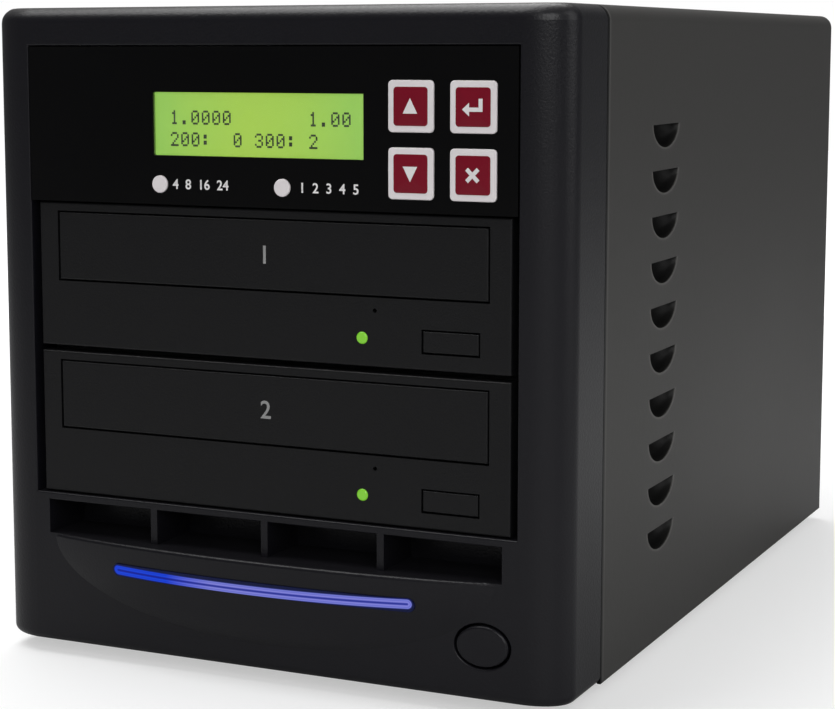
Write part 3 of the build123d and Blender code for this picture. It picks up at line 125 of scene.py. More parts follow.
def make_floor():
    """A flat grid whose height is zero everywhere, 6 m across.  The camera sees it lightened,
    more so with the distance from the machine, so that it runs into the white behind."""
    reach, cells = 3.0, 2
    steps = np.linspace(-reach, reach, cells + 1)
    x, y = np.meshgrid(steps, steps, indexing="ij")
    floor = grid_mesh("studio_floor", np.stack([x, y, 0 * x], axis=-1))
    near, far, near_glow, far_glow = 0.25, 0.9, 0.5, 1.0
    material, tree, shader = new_finish("floor_white", (0.5, 0.5, 0.5), 0.6)
    surface = tree.nodes["Material Output"].inputs["Surface"]
    path = put(tree, "ShaderNodeLightPath")
    away = put(tree, "ShaderNodeVectorMath", {0: object_place(tree)}, operation="LENGTH")
    lift = ranged(tree, away.outputs["Value"], near, far, near_glow, far_glow)
    glow = put(tree, "ShaderNodeEmission", {"Color": (1, 1, 1, 1), "Strength": lift})
    both = put(tree, "ShaderNodeAddShader", {0: shader.outputs[0], 1: glow.outputs[0]})
    mix = put(tree, "ShaderNodeMixShader", {"Fac": path.outputs["Is Camera Ray"],
                                            1: shader.outputs[0], 2: both.outputs[0]})
    tree.links.new(mix.outputs[0], surface)
    floor.data.materials.append(material)


def grid_mesh(name, points, wrap_u=False, wrap_v=False):
    """A sheet of quads over a grid of points, u by v; it may close on itself either way."""
    count_u, count_v = points.shape[:2]
    u = np.arange(count_u if wrap_u else count_u - 1)
    v = np.arange(count_v if wrap_v else count_v - 1)
    u, v = [a.ravel() for a in np.meshgrid(u, v, indexing="ij")]
    u1, v1 = (u + 1) % count_u, (v + 1) % count_v
    quads = np.stack([u * count_v + v, u1 * count_v + v, u1 * count_v + v1, u * count_v + v1], 1)
    return shape_object(name, points.reshape(-1, 3), quads.tolist())


def shape_object(name, points, faces, smooth=True):
    """A mesh object at the origin from points in metres and faces of point numbers."""
    mesh = bpy.data.meshes.new(name)
    mesh.from_pydata(np.asarray(points, float).tolist(), [], faces)
    mesh.polygons.foreach_set("use_smooth", np.full(len(mesh.polygons), smooth))
    mesh.update()
    made = bpy.data.objects.new(name, mesh)
    bpy.context.scene.collection.objects.link(made)
    return made


def new_finish(name, colour, roughness, metallic=0.0, **more):
    """A Principled material; returns it with its node tree and its shader."""
    material = bpy.data.materials.new(name)
    material.use_nodes = True
    tree = material.node_tree
    shader = tree.nodes["Principled BSDF"]
    shader.inputs["Base Color"].default_value = (*colour, 1)
    shader.inputs["Roughness"].default_value = roughness
    shader.inputs["Metallic"].default_value = metallic
    for key, value in more.items():
        shader.inputs[key.replace("_", " ")].default_value = value
    return material, tree, shader


def make_camera():
    """Camera axes from yaw, pitch and roll: forward, then right, then up squared to both."""
    yaw, pitch, roll = radians(25.43), radians(-7.23), radians(-0.07)
    place = Vector((278.3, -506.2, 174.9)) * MM + Vector((0, front_y, base_z))
    image_width, image_height = 835, 709
    focal, centre = 2099.1, (384.9, 314.3)      # pixels of that image
    forward = Vector((-sin(yaw) * cos(pitch), cos(yaw) * cos(pitch), sin(pitch)))
    level = Vector((cos(yaw), sin(yaw), 0))
    upright = level.cross(forward)
    right = level * cos(roll) + upright * sin(roll)
    up = upright * cos(roll) - level * sin(roll)
    camera = bpy.data.objects.new("camera", bpy.data.cameras.new("camera"))
    bpy.context.scene.collection.objects.link(camera)
    axes = Matrix((right, up, -forward)).transposed()
    camera.matrix_world = Matrix.Translation(place) @ axes.to_4x4()
    lens = camera.data
    lens.sensor_width = 36.0
    lens.lens = focal * lens.sensor_width / image_width
    lens.shift_x = (image_width / 2 - centre[0]) / image_width
    lens.shift_y = (centre[1] - image_height / 2) / image_width
    lens.clip_start = 0.02
    bpy.context.scene.camera = camera


bpy.context.scene.view_settings.view_transform = "Standard"
make_world()
make_floor()
make_camera()
middle = (0, 0, 0.1)
soft_lamp("lamp_overhead", (-0.35, 0.1, 1.3), middle, width=1.7, height=0.8, power=22)
soft_lamp("lamp_right", (1.5, -0.1, 0.8), middle, width=1.0, height=1.4, power=8)
soft_lamp("lamp_front", (0.75, -1.5, 0.9), middle, width=0.9, height=0.9, power=12)


# ------------------------------------------------------------------ steel chassis and bay brackets
# Zinc-plated sheet, punched and folded: the floor with the front wall, and the two side plates
# that the drives are screwed to.  The zinc shows faint crystals and the rolling direction.
def effect_group(name, inputs, outputs):
    """An empty node group with number, colour or vector sockets, given as name to kind."""
    kinds = {"number": "NodeSocketFloat", "colour": "NodeSocketColor",
             "vector": "NodeSocketVector"}
    group = bpy.data.node_groups.new(name, "ShaderNodeTree")
    for label, kind in inputs.items():
        group.interface.new_socket(name=label, in_out="INPUT", socket_type=kinds[kind])
    for label, kind in outputs.items():
        group.interface.new_socket(name=label, in_out="OUTPUT", socket_type=kinds[kind])
    return group, group.nodes.new("NodeGroupInput").outputs, group.nodes.new("NodeGroupOutput")


def make_tone_group():
    """Colour times one plus a slow noise, so that no face is one flat tone."""
    group, given, result = effect_group(
        "tone_drift", {"Colour": "colour", "Size": "number", "Amount": "number"},
        {"Colour": "colour", "Drift": "number"})
    cloud = put(group, "ShaderNodeTexNoise", {"Vector": object_place(group),
                                              "Scale": given["Size"], "Detail": 3.0,
                                              "Roughness": 0.55})
    centred = reckon(group, "SUBTRACT", cloud.outputs["Fac"], 0.5)
    gain = reckon(group, "MULTIPLY_ADD", centred, given["Amount"], 1.0)
    scaled = put(group, "ShaderNodeVectorMath", {0: given["Colour"], 1: gain},
                 operation="MULTIPLY").outputs[0]
    group.links.new(scaled, result.inputs["Colour"])
    group.links.new(centred, result.inputs["Drift"])
    return group


def make_dust_group():
    """Pale dust where faces look up: the upward part of the normal, cubed, times a noise.  Laid on
    thickly, the same pale colour also serves as a painted highlight.
    """
    group, given, result = effect_group(
        "settled_dust_and_sheen", {"Colour": "colour", "Amount": "number"},
        {"Colour": "colour", "Mask": "number"})
    normal = put(group, "ShaderNodeNewGeometry").outputs["Normal"]
    up = put(group, "ShaderNodeSeparateXYZ", {"Vector": normal}).outputs["Z"]
    up = put(group, "ShaderNodeClamp", {"Value": up}).outputs[0]
    up = reckon(group, "POWER", up, 3.0)
    speck = put(group, "ShaderNodeTexNoise", {"Vector": object_place(group), "Scale": 900.0,
                                              "Detail": 2.0})
    mask = reckon(group, "MULTIPLY", up, speck.outputs["Fac"])
    mask = reckon(group, "MULTIPLY", mask, given["Amount"])
    dust_and_sheen_colour = (0.35, 0.34, 0.32, 1)
    mixed = blend(group, mask, given["Colour"], dust_and_sheen_colour)
    group.links.new(mixed, result.inputs["Colour"])
    group.links.new(mask, result.inputs["Mask"])
    return group


def use_group(tree, group, inputs):
    """Place a node group in a material, with its own values."""
    return put(tree, "ShaderNodeGroup", inputs, node_tree=group, label=group.name)


tone_group = make_tone_group()
dust_and_sheen_group = make_dust_group()


def drifting(tree, shader, colour, size=12.0, amount=0.25, rough_swing=0.12, dust_and_sheen=0.0):
    """Give a shader a drifting tone, a roughness that follows it unless its swing is zero, and
    some pale dust on top, which also serves as a painted highlight: a number, or a function of the
    tree that gives a socket."""
    tone = use_group(tree, tone_group, {"Colour": (*colour, 1), "Size": size, "Amount": amount})
    shown = tone.outputs["Colour"]
    if dust_and_sheen:
        amount = dust_and_sheen(tree) if callable(dust_and_sheen) else dust_and_sheen
        shown = use_group(tree, dust_and_sheen_group, {"Colour": shown, "Amount": amount}).outputs["Colour"]
    tree.links.new(shown, shader.inputs["Base Color"])
    if rough_swing:
        plain = shader.inputs["Roughness"].default_value
        rough = reckon(tree, "MULTIPLY_ADD", tone.outputs["Drift"], rough_swing, plain)
        tree.links.new(rough, shader.inputs["Roughness"])
    return tone


def bumped(tree, shader, height, distance, strength=1.0):
    """Feed a height to the shader's normal; distance is what one unit of it stands for."""
    bump = put(tree, "ShaderNodeBump", {"Height": height, "Distance": distance,
                                        "Strength": strength})
    tree.links.new(bump.outputs["Normal"], shader.inputs["Normal"])


def stretched_noise(tree, stretch, scale):
    """Noise drawn out along the axes with a small stretch value."""
    spread = put(tree, "ShaderNodeMapping", {"Vector": object_place(tree), "Scale": stretch})
    return put(tree, "ShaderNodeTexNoise", {"Vector": spread.outputs[0], "Scale": scale,
                                            "Detail": 2.0}).outputs["Fac"]


even = (1, 1, 1)                            # noise drawn out along no axis


def zinc_finish():
    """Plated sheet: crystals as cells of a few millimetres, over fine rolling lines."""
    material, tree, shader = new_finish("zinc_sheet", (0.5, 0.5, 0.5), 0.38, metallic=0.9)
    drifting(tree, shader, (0.5, 0.5, 0.49), size=35.0, amount=0.35, rough_swing=0.35)
    crystal = put(tree, "ShaderNodeTexVoronoi", {"Vector": object_place(tree), "Scale": 160.0})
    lines = stretched_noise(tree, (1, 0.05, 1), scale=700.0)
    both = reckon(tree, "ADD", crystal.outputs["Distance"], lines)
    bumped(tree, shader, both, distance=0.02 * MM, strength=0.5)
    return material


def dress(material, *names):
    """Give CAD nodes one material."""
    for name in names:
        nodes[name].data.materials.clear()
        nodes[name].data.materials.append(material)


zinc = zinc_finish()
dress(zinc, "base_chassis", "bay_bracket_left", "bay_bracket_right")


# ------------------------------------------------------------------ feet
# Four black rubber pads, each with a stud pushed through the floor sheet.
def rubber_finish():
    """Soft black rubber, slightly chalky, with a fine skin."""
    material, tree, shader = new_finish("foot_rubber", (0.03, 0.03, 0.03), 0.85)
    drifting(tree, shader, (0.035, 0.034, 0.033), size=60.0, amount=0.5)
    skin = stretched_noise(tree, even, scale=1400.0)
    bumped(tree, shader, skin, distance=0.05 * MM, strength=0.6)
    return material


dress(rubber_finish(), "rubber_feet")


# ------------------------------------------------------------------ moulded black plastics
# The bezel, the drives' fronts, the switch and the fans are black moulded plastic.  The mould's
# spark-eroded skin leaves a fine even grain, which breaks up highlights.
def make_grain_group():
    """Pitted skin: the distance into fine cells plus a finer noise, which the roughness also
    follows."""
    group, given, result = effect_group(
        "moulded_grain", {"Size": "number", "Roughness": "number", "Swing": "number"},
        {"Height": "number", "Roughness": "number"})
    place = object_place(group)
    cells = put(group, "ShaderNodeTexVoronoi", {"Vector": place, "Scale": given["Size"]},
                feature="SMOOTH_F1")
    fine = put(group, "ShaderNodeTexNoise", {"Vector": place, "Scale": given["Size"],
                                             "Detail": 2.0})
    cell_share = 0.7
    height = reckon(group, "MULTIPLY_ADD", cells.outputs["Distance"], cell_share,
                    fine.outputs["Fac"])
    rough = reckon(group, "MULTIPLY_ADD", fine.outputs["Fac"], given["Swing"],
                   given["Roughness"])
    group.links.new(height, result.inputs["Height"])
    group.links.new(rough, result.inputs["Roughness"])
    return group


grain_group = make_grain_group()


grain_swing = 0.12                          # how much the roughness follows the grain


def add_grain(tree, shader, roughness, size, depth, strength):
    """Lay the grain over a shader, its roughness around the one given."""
    grain = use_group(tree, grain_group, {"Size": size, "Swing": grain_swing,
                                          "Roughness": roughness - grain_swing / 2})
    tree.links.new(grain.outputs["Roughness"], shader.inputs["Roughness"])
    bumped(tree, shader, grain.outputs["Height"], depth, strength)


def moulded_finish(name, colour, roughness, grain_size=1500.0, grain_depth=0.06 * MM,
                   dust_and_sheen=0.0, **more):
    """Moulded plastic: drifting tone with the fine grain as height and roughness."""
    material, tree, shader = new_finish(name, colour, roughness, **more)
    drifting(tree, shader, colour, size=9.0, amount=0.3, rough_swing=0.0, dust_and_sheen=dust_and_sheen)
    add_grain(tree, shader, roughness, grain_size, grain_depth, strength=0.7)
    return material


def top_edge_dust(tree):
    """A little dust below; over the last millimetres up to the bezel's top much more of the pale
    dust colour, a painted highlight on its rounded edge.
    """
    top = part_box("front_bezel")[1].z
    return ranged(tree, place_axes(tree)["Z"], top - 6 * MM, top - 2 * MM, low=0.02, high=0.3)


# Painted highlight: the pale colour laid thick along the bezel's top edge stands in for the sheen
# of light on its rounding.
bezel_black = moulded_finish("bezel_black", (0.0058, 0.0056, 0.0078), 0.34, dust_and_sheen=top_edge_dust,
                             Specular_IOR_Level=0.27)
drive_black = moulded_finish("drive_black", (0.006, 0.006, 0.0066), 0.4, grain_size=2000.0,
                             Specular_IOR_Level=0.23)
smooth_black = moulded_finish("smooth_black", (0.01, 0.01, 0.0105), 0.36, grain_size=600.0,
                              grain_depth=0.01 * MM, Specular_IOR_Level=0.3)
dress(bezel_black, "front_bezel")


# ------------------------------------------------------------------ light bar
# A clear strip set into the lip, lit from behind by five lamps on a narrow board.  The strip
# glows violet blue, darker along its core and its rim, and azure towards its left end.
bar_low, bar_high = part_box("light_bar")


def colour_ramp(tree, value, stops):
    """A colour by a value, through stops of place and colour."""
    ramp = put(tree, "ShaderNodeValToRGB", {"Fac": value})
    made = ramp.color_ramp.elements
    while len(made) < len(stops):
        made.new(1.0)
    for element, (where, colour) in zip(made, stops):
        element.position, element.color = where, (*colour, 1)
    return ramp.outputs["Color"]


def light_up(tree, shader, colour, strength):
    """Let a shader glow in the colour of a socket."""
    tree.links.new(colour, shader.inputs["Emission Color"])
    shader.inputs["Emission Strength"].default_value = strength


def light_bar_finish():
    """Glow by the distance from a centre line, as a share of the half width: the line bows down
    by the square of the distance from the middle, and the glow ends in half rounds."""
    material, tree, shader = new_finish("bar_glow", (0.006, 0.01, 0.05), 0.25,
                                        Specular_IOR_Level=0.15)
    glow_reach, half_width, bow, lean, drop = 47.4 * MM, 1.4 * MM, 0.8 * MM, 0.2 * MM, 0.5 * MM
    axis = place_axes(tree)
    share = reckon(tree, "DIVIDE", axis["X"], glow_reach)
    height = reckon(tree, "MULTIPLY_ADD", reckon(tree, "MULTIPLY", share, share), bow,
                    (bar_low.z + bar_high.z) / 2 - drop)
    height = reckon(tree, "MULTIPLY_ADD", share, lean, height)
    beyond = reckon(tree, "SUBTRACT", reckon(tree, "ABSOLUTE", axis["X"]),
                    glow_reach - half_width)
    beyond = reckon(tree, "MAXIMUM", beyond, 0.0)
    away = reckon(tree, "SUBTRACT", axis["Z"], height)
    away = reckon(tree, "ADD", reckon(tree, "MULTIPLY", beyond, beyond),
                  reckon(tree, "MULTIPLY", away, away))
    away = reckon(tree, "SQRT", away)
    last_stop = 1.36 * half_width               # distance at which the ramp ends
    across = colour_ramp(tree, reckon(tree, "DIVIDE", away, last_stop),
                         ((0.0, (0.012, 0.016, 0.2)), (0.12, (0.04, 0.05, 0.36)),
                          (0.28, (0.23, 0.23, 0.66)), (0.5, (0.12, 0.13, 0.55)),
                          (0.64, (0.2, 0.22, 0.66)), (0.74, (0.01, 0.014, 0.12)),
                          (0.88, (0.0008, 0.001, 0.006))))
    azure_end, violet_start = bar_low.x + 19 * MM, bar_low.x + 34 * MM
    along = ranged(tree, axis["X"], azure_end, violet_start, low=1.0, high=0.0)
    tint = blend(tree, along, (1, 1, 1, 1), (0.01, 0.22, 0.98, 1))
    glow = put(tree, "ShaderNodeVectorMath", {0: across, 1: tint}, operation="MULTIPLY")
    light_up(tree, shader, glow.outputs[0], 1.0)
    return material


dress(light_bar_finish(), "light_bar")


# ------------------------------------------------------------------ circuit boards
# Green laminate with copper tracks under the resist; chips, sockets and coils stand on it.
def within(tree, centre, half):
    """One inside a box of the part's own space, zero outside it."""
    moved = put(tree, "ShaderNodeVectorMath", {0: object_place(tree), 1: centre},
                operation="SUBTRACT")
    away = put(tree, "ShaderNodeVectorMath", {0: moved.outputs[0]}, operation="ABSOLUTE")
    share = put(tree, "ShaderNodeVectorMath", {0: away.outputs[0], 1: half}, operation="DIVIDE")
    axis = put(tree, "ShaderNodeSeparateXYZ", {"Vector": share.outputs[0]}).outputs
    widest = reckon(tree, "MAXIMUM", reckon(tree, "MAXIMUM", axis["X"], axis["Y"]), axis["Z"])
    return reckon(tree, "LESS_THAN", widest, 1.0)


def board_finish(name, axis, low, high):
    """Resist green between low and high along the axis, black and grey parts beyond them."""
    material, tree, shader = new_finish(name, (0.02, 0.13, 0.05), 0.35)
    place = object_place(tree)
    tracks = put(tree, "ShaderNodeTexBrick", {"Vector": place, "Scale": 120.0,
                                              "Color1": (0.012, 0.11, 0.045, 1),
                                              "Color2": (0.02, 0.15, 0.06, 1),
                                              "Mortar": (0.05, 0.24, 0.09, 1),
                                              "Mortar Size": 0.06}, offset=0.3)
    parts = put(tree, "ShaderNodeTexVoronoi", {"Vector": place, "Scale": 60.0})
    shades = colour_ramp(tree, parts.outputs["Color"],
                         ((0.0, (0.012, 0.012, 0.013)), (1.0, (0.03, 0.03, 0.032))))
    centre, half, margin = [0, 0, 0], [1.0, 1.0, 1.0], 0.02 * MM
    centre[axis], half[axis] = (low + high) / 2, (high - low) / 2 + margin
    shown = blend(tree, within(tree, centre, half), shades, tracks.outputs["Color"])
    tree.links.new(shown, shader.inputs["Base Color"])
    bumped(tree, shader, tracks.outputs["Fac"], distance=0.03 * MM, strength=0.4)
    return material


board_thickness = 1.6 * MM
drive_chips_under, supply_standoff = 0.7 * MM, 4.0 * MM
depth_axis, height_axis = 1, 2


def lay_board_finish(node, axis, from_low=0.0, from_high=None):
    """Dress one board: its laminate lies along axis, from_low above the node's lowest face or
    from_high under its highest; the rest of the node is its soldered parts."""
    low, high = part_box(node)
    start = low[axis] + from_low if from_high is None else high[axis] - from_high
    dress(board_finish(node + "_laminate", axis, start, start + board_thickness), node)


lay_board_finish("light_bar_board", depth_axis, from_high=board_thickness)
lay_board_finish("keypad_board", depth_axis, from_high=board_thickness)
lay_board_finish("controller_board", height_axis)
for drive in ("lower", "upper"):
    lay_board_finish(f"{drive}_drive_board", height_axis, from_low=drive_chips_under)
lay_board_finish("psu_board", height_axis, from_low=supply_standoff)


# ------------------------------------------------------------------ power button and its switch
# An oval black cap that slides in the bezel's guide and pushes a small switch behind it.
dress(bezel_black, "power_button")
dress(smooth_black, "power_switch")


# ------------------------------------------------------------------ control panel and display
# A black overlay plate, flush with the bezel, with a clear window.  Behind the window is a
# backlit two-line dot display; its dots are dark on yellow green.
def overlay_finish():
    """Smooth black film: low sheen, hardly any texture."""
    material, tree, shader = new_finish("overlay_black", (0.003, 0.003, 0.003), 0.3,
                                        Specular_IOR_Level=0.1)
    drifting(tree, shader, (0.0022, 0.0022, 0.0024), size=14.0, amount=0.5, rough_swing=0.08)
    film = stretched_noise(tree, even, scale=300.0)
    bumped(tree, shader, film, distance=0.01 * MM, strength=0.4)
    return material


def window_finish():
    """Clear thin plastic."""
    material, tree, shader = new_finish("window_clear", (1, 1, 1), 0.02, IOR=1.12,
                                        Transmission_Weight=1.0)
    waves = stretched_noise(tree, even, scale=60.0)
    bumped(tree, shader, waves, distance=0.005 * MM, strength=0.3)
    return material


def backlight_finish(left, right):
    """Yellow green light, a little greener towards both ends: by the square of the distance
    from the middle."""
    material, tree, shader = new_finish("backlight_green", (0.06, 0.1, 0.012), 0.5)
    share = ranged(tree, place_axes(tree)["X"], left, right, low=-1.0, high=1.0)
    bow = reckon(tree, "POWER", share, 2.0)
    cloud_share = 0.4
    near_end = reckon(tree, "MULTIPLY_ADD", stretched_noise(tree, even, scale=40.0),
                      cloud_share, bow)
    tint = blend(tree, near_end, (0.36, 0.57, 0.06, 1), (0.26, 0.53, 0.085, 1))
    light_up(tree, shader, tint, 0.82)
    return material


def on_front(x, z, y=0.0):
    """A point given in millimetres: across from the centre, up from the case's lower edge,
    and back from the bezel's flat front."""
    return np.array([x * MM, front_y + y * MM, base_z + z * MM])


def round_corners(half_width, half_height, radius, steps=6):
    """A rectangle's outline with each corner a quarter circle, anticlockwise from the front."""
    angles = (np.arange(4)[:, None] * pi / 2 + np.linspace(0, pi / 2, steps)).ravel()
    signs = np.repeat([(1, 1), (-1, 1), (-1, -1), (1, -1)], steps, axis=0)
    centres = signs * np.array([half_width - radius, half_height - radius])
    return centres + radius * np.stack([np.cos(angles), np.sin(angles)], axis=1)


def raised_plate(name, outline, centre, front, back, edge, crown=0.0):
    """A closed plate that faces the front.  Its rim rises straight, turns in over a quarter
    round of radius edge, and with a crown the middle swells by one minus the square of the
    distance from the centre.  Outline in millimetres; front and back are depths."""
    inward = 0
    for along in (np.roll(outline, -1, axis=0) - outline, outline - np.roll(outline, 1, axis=0)):
        square = np.stack([-along[:, 1], along[:, 0]], 1)
        inward = inward + square / np.linalg.norm(along, axis=1)[:, None]
    shortest = 0.5                              # keeps the step sane where the rim turns back
    inward /= np.maximum(np.linalg.norm(inward, axis=1), shortest)[:, None]
    edge_steps, crown_shares = 4, (0.85, 0.65, 0.45, 0.25, 0.1)
    turn = np.linspace(0, pi / 2, edge_steps)
    offsets = np.concatenate([[0], edge * (1 - np.cos(turn))])
    depths = np.concatenate([[back], front + edge * (1 - np.sin(turn))])
    rings = [np.insert(outline + o * inward, 1, d, axis=1) for o, d in zip(offsets, depths)]
    if crown:
        rim = outline + edge * inward
        for share in crown_shares:
            rings.append(np.insert(rim * share, 1, front - crown * (1 - share ** 2), axis=1))
    count = len(outline)
    points = np.concatenate(rings) * MM
    points += on_front(*centre)
    step = np.arange(count)
    faces = []
    for ring in range(len(rings) - 1):
        a, b = ring * count + step, ring * count + (step + 1) % count
        faces += np.stack([a, b, b + count, a + count], axis=1).tolist()
    faces.append(((len(rings) - 1) * count + step).tolist())
    faces.append(step[::-1].tolist())
    return shape_object(name, points, faces, smooth=False)


def finish_piece(piece, material, body="case", replaced=()):
    """Give a new piece its material and the body it rides on."""
    piece.data.materials.append(material)
    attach(piece, body)
    if replaced:
        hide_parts(*replaced)


def middle_of(node):
    """The middle of a node's box as seen from the front, in the millimetres of on_front."""
    low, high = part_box(node)
    return (low.x + high.x) / 2 / MM, ((low.z + high.z) / 2 - base_z) / MM


def depth_of(node):
    """A node's foremost face, in the same millimetres."""
    return (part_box(node)[0].y - front_y) / MM


pane_low, pane_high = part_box("lcd_window")
pane_centre, pane_front = middle_of("lcd_window"), depth_of("lcd_window")
pane_half = np.array([(pane_high.x - pane_low.x) / 2 / MM, (pane_high.z - pane_low.z) / 2 / MM])
pane_depth, pane_corner = 0.5, 0.5
stack_front = pane_front + 0.62             # the display's face, just behind the pane
stack_gap, stack_back_gap = 0.02, 0.01
dress(overlay_finish(), "control_panel")
dress(zinc, "lcd_module")
window = raised_plate("display_window", round_corners(*pane_half, pane_corner), pane_centre,
                      pane_front, pane_front + pane_depth, edge=0.05)
finish_piece(window, window_finish(), replaced=("lcd_window",))
backlight = raised_plate("display_backlight", round_corners(*pane_half - stack_gap, pane_corner),
                         pane_centre, stack_front, depth_of("lcd_module") - stack_back_gap,
                         edge=0.03)
finish_piece(backlight, backlight_finish(pane_low.x, pane_high.x))

# Characters of 5 by 7 dots, row by row from the top.
digit_rows = {
    "0": (".###.", "#...#", "#..##", "#.#.#", "##..#", "#...#", ".###."),
    "1": ("..#..", ".##..", "..#..", "..#..", "..#..", "..#..", ".###."),
    "2": (".###.", "#...#", "....#", "...#.", "..#..", ".#...", "#####"),
    "3": (".###.", "#...#", "....#", "..##.", "....#", "#...#", ".###."),
    ".": (".....", ".....", ".....", ".....", ".....", ".##..", ".##.."),
    ":": (".....", ".##..", ".##..", ".....", ".##..", ".##..", "....."),
    " ": (".....",) * 7,
}


def display_dots(lines):
    """All dark dots as one mesh of flat-topped blocks, five faces each."""
    cell, line_pitch = 3.36, 6.1
    dot, rise = np.array([0.5, 0.56]), 0.04
    left, top = -29.0, 157.45
    places = np.array([(left + column * cell + i * dot[0], top - row * line_pitch - j * dot[1])
                       for row, line in enumerate(lines) for column, letter in enumerate(line)
                       for j, dots in enumerate(digit_rows[letter])
                       for i, mark in enumerate(dots) if mark == "#"])
    corners = np.array([(-1, -1), (1, -1), (1, 1), (-1, 1)]) * dot / 2
    flat = places[:, None, :] + corners[None]
    rows = [np.insert(flat, 1, depth, axis=2) for depth in (stack_front - rise, stack_front)]
    points = np.concatenate(rows, axis=1).reshape(-1, 3) * MM + on_front(0, 0)
    ring = np.array([(0, 1, 2, 3), (4, 5, 1, 0), (5, 6, 2, 1), (6, 7, 3, 2), (7, 4, 0, 3)])
    faces = (np.arange(len(places))[:, None, None] * 8 + ring[None]).reshape(-1, 4)
    return shape_object("display_digits", points, faces.tolist(), smooth=False)


def dot_finish():
    """Dark liquid-crystal dots, with the green behind showing a little."""
    material, tree, shader = new_finish("dot_dark", (0.02, 0.035, 0.01), 0.4)
    drifting(tree, shader, (0.014, 0.03, 0.008), size=30.0, amount=0.3)
    return material


finish_piece(display_dots(("1.0000       1.00", "200:  0 300: 2")), dot_finish())


# ------------------------------------------------------------------ keys
# Four square white keys with a domed red face and a white symbol, and two round white ones.
# Each cap slides in the panel and presses a switch on the board behind.
def lacquer_finish(name, colour, roughness=0.3):
    """Glossy moulded or printed plastic."""
    material, tree, shader = new_finish(name, colour, roughness, Specular_IOR_Level=0.2)
    drifting(tree, shader, colour, size=25.0, amount=0.15, rough_swing=0.1)
    skin = stretched_noise(tree, even, scale=350.0)
    bumped(tree, shader, skin, distance=0.008 * MM, strength=0.5)
    return material


key_white = lacquer_finish("key_white_cap", (0.8, 0.76, 0.77))
key_red = lacquer_finish("key_red_face", (0.19, 0.006, 0.018), 0.26)
print_white = lacquer_finish("print_white", (0.8, 0.78, 0.78))
cross_arm, cross_half = 2.3, 0.55
cross_corner = [(cross_half, cross_half), (cross_arm, cross_half), (cross_arm, -cross_half)]


def rolled(outline, angle):
    """A flat outline turned about its origin."""
    return np.array(outline) @ np.array([(cos(angle), sin(angle)), (-sin(angle), cos(angle))])


cross = np.concatenate([rolled(cross_corner, -quarter * pi / 2) for quarter in range(4)])
# The symbols' outlines, in millimetres from the middle of the key.
key_marks = {
    "key_up": np.array([(2.1, -1.9), (0, 2.2), (-2.1, -1.9)]),
    "key_down": np.array([(2.1, 1.9), (-2.1, 1.9), (0, -2.2)]),
    "key_enter": np.array([(-1.0, -2.4), (-1.0, -1.2), (2.8, -1.2), (2.8, 2.2), (1.7, 2.2),
                           (1.7, -0.1), (-1.0, -0.1), (-1.0, 1.1), (-3.0, -0.65)]),
    "key_escape": rolled(cross, pi / 4),
}
face_half, face_corner, face_rise, face_crown = (4.95, 5.15), 0.9, 0.12, 0.22
face_sunk, face_edge, symbol_rise, symbol_edge = 0.02, 0.08, 0.05, 0.02


def anticlockwise(outline):
    """The outline in the order whose signed area is positive."""
    x, z = outline.T
    area = np.sum(x * np.roll(z, -1) - np.roll(x, -1) * z)
    return outline if area > 0 else outline[::-1]


for name, mark in key_marks.items():
    centre, cap = middle_of(name), depth_of(name)
    face = raised_plate(name + "_face", round_corners(*face_half, face_corner), centre,
                        cap - face_rise, cap + face_sunk, face_edge, crown=face_crown)
    symbol = raised_plate(name + "_symbol", anticlockwise(mark), centre,
                          cap - face_rise - face_crown - symbol_rise, cap - face_rise,
                          symbol_edge)
    dress(key_white, name)
    finish_piece(face, key_red, body=name)
    finish_piece(symbol, print_white, body=name)


def printed_text(name, text, height, x, z, y, material, body="case", bold=0.0):
    """Plain characters as a thin print that faces the front; x and z are its centre, and bold
    is how far each stroke grows to each side."""
    figure_share, half_thickness = 0.7, 0.02    # a figure's height as a share of the font size
    curve = bpy.data.curves.new(name, "FONT")
    curve.body, curve.size = text, height * MM / figure_share
    curve.extrude = half_thickness * MM
    curve.align_x, curve.align_y = "CENTER", "CENTER"
    curve.offset = bold * MM
    curve.resolution_u = 6
    source = bpy.data.objects.new(name + "_outline", curve)
    bpy.context.scene.collection.objects.link(source)
    bpy.context.view_layer.update()
    mesh = bpy.data.meshes.new_from_object(source)
    bpy.data.objects.remove(source)
    place = Matrix.Translation(Vector(on_front(x, z, y)))
    mesh.transform(place @ Matrix.Rotation(pi / 2, 4, "X"))
    made = bpy.data.objects.new(name, mesh)
    bpy.context.scene.collection.objects.link(made)
    finish_piece(made, material, body)


# Beside each round key a row of plain numbers, as on a dial.
mark_height, mark_bold, mark_ahead = 2.7, 0.06, 0.03
for number, text, mark_x in ((1, "4  8  16  24", -19.2), (2, "1  2  3  4  5", 20.9)):
    name = f"function_key_{number}"
    dress(key_white, name)
    printed_text(f"function_mark_{number}", text, mark_height, mark_x, middle_of(name)[1],
                 -mark_ahead, print_white, bold=mark_bold)


# ------------------------------------------------------------------ disc drives
# Two half-height drives.  Each has a moulded front with the tray's door and eject button in it,
# a steel case, a moulded inner frame, and the tray that slides out on a rack.
def lens_finish():
    """Lit green light pipe, brightest at its middle."""
    material, tree, shader = new_finish("lens_green_lit", (0.1, 0.3, 0.02), 0.2)
    facing = put(tree, "ShaderNodeLayerWeight", {"Blend": 0.4}).outputs["Facing"]
    shade = blend(tree, facing, (0.22, 0.56, 0.035, 1), (0.08, 0.3, 0.01, 1))
    light_up(tree, shader, shade, 0.6)
    return material


def steel_finish(name, colour, roughness, stretch):
    """Bright steel with drawing lines along the axis of the small stretch."""
    material, tree, shader = new_finish(name, colour, roughness, metallic=1.0)
    drifting(tree, shader, colour, size=40.0, amount=0.2, rough_swing=0.3)
    lines = stretched_noise(tree, stretch, scale=900.0)
    bumped(tree, shader, lines, distance=0.008 * MM, strength=0.5)
    return material


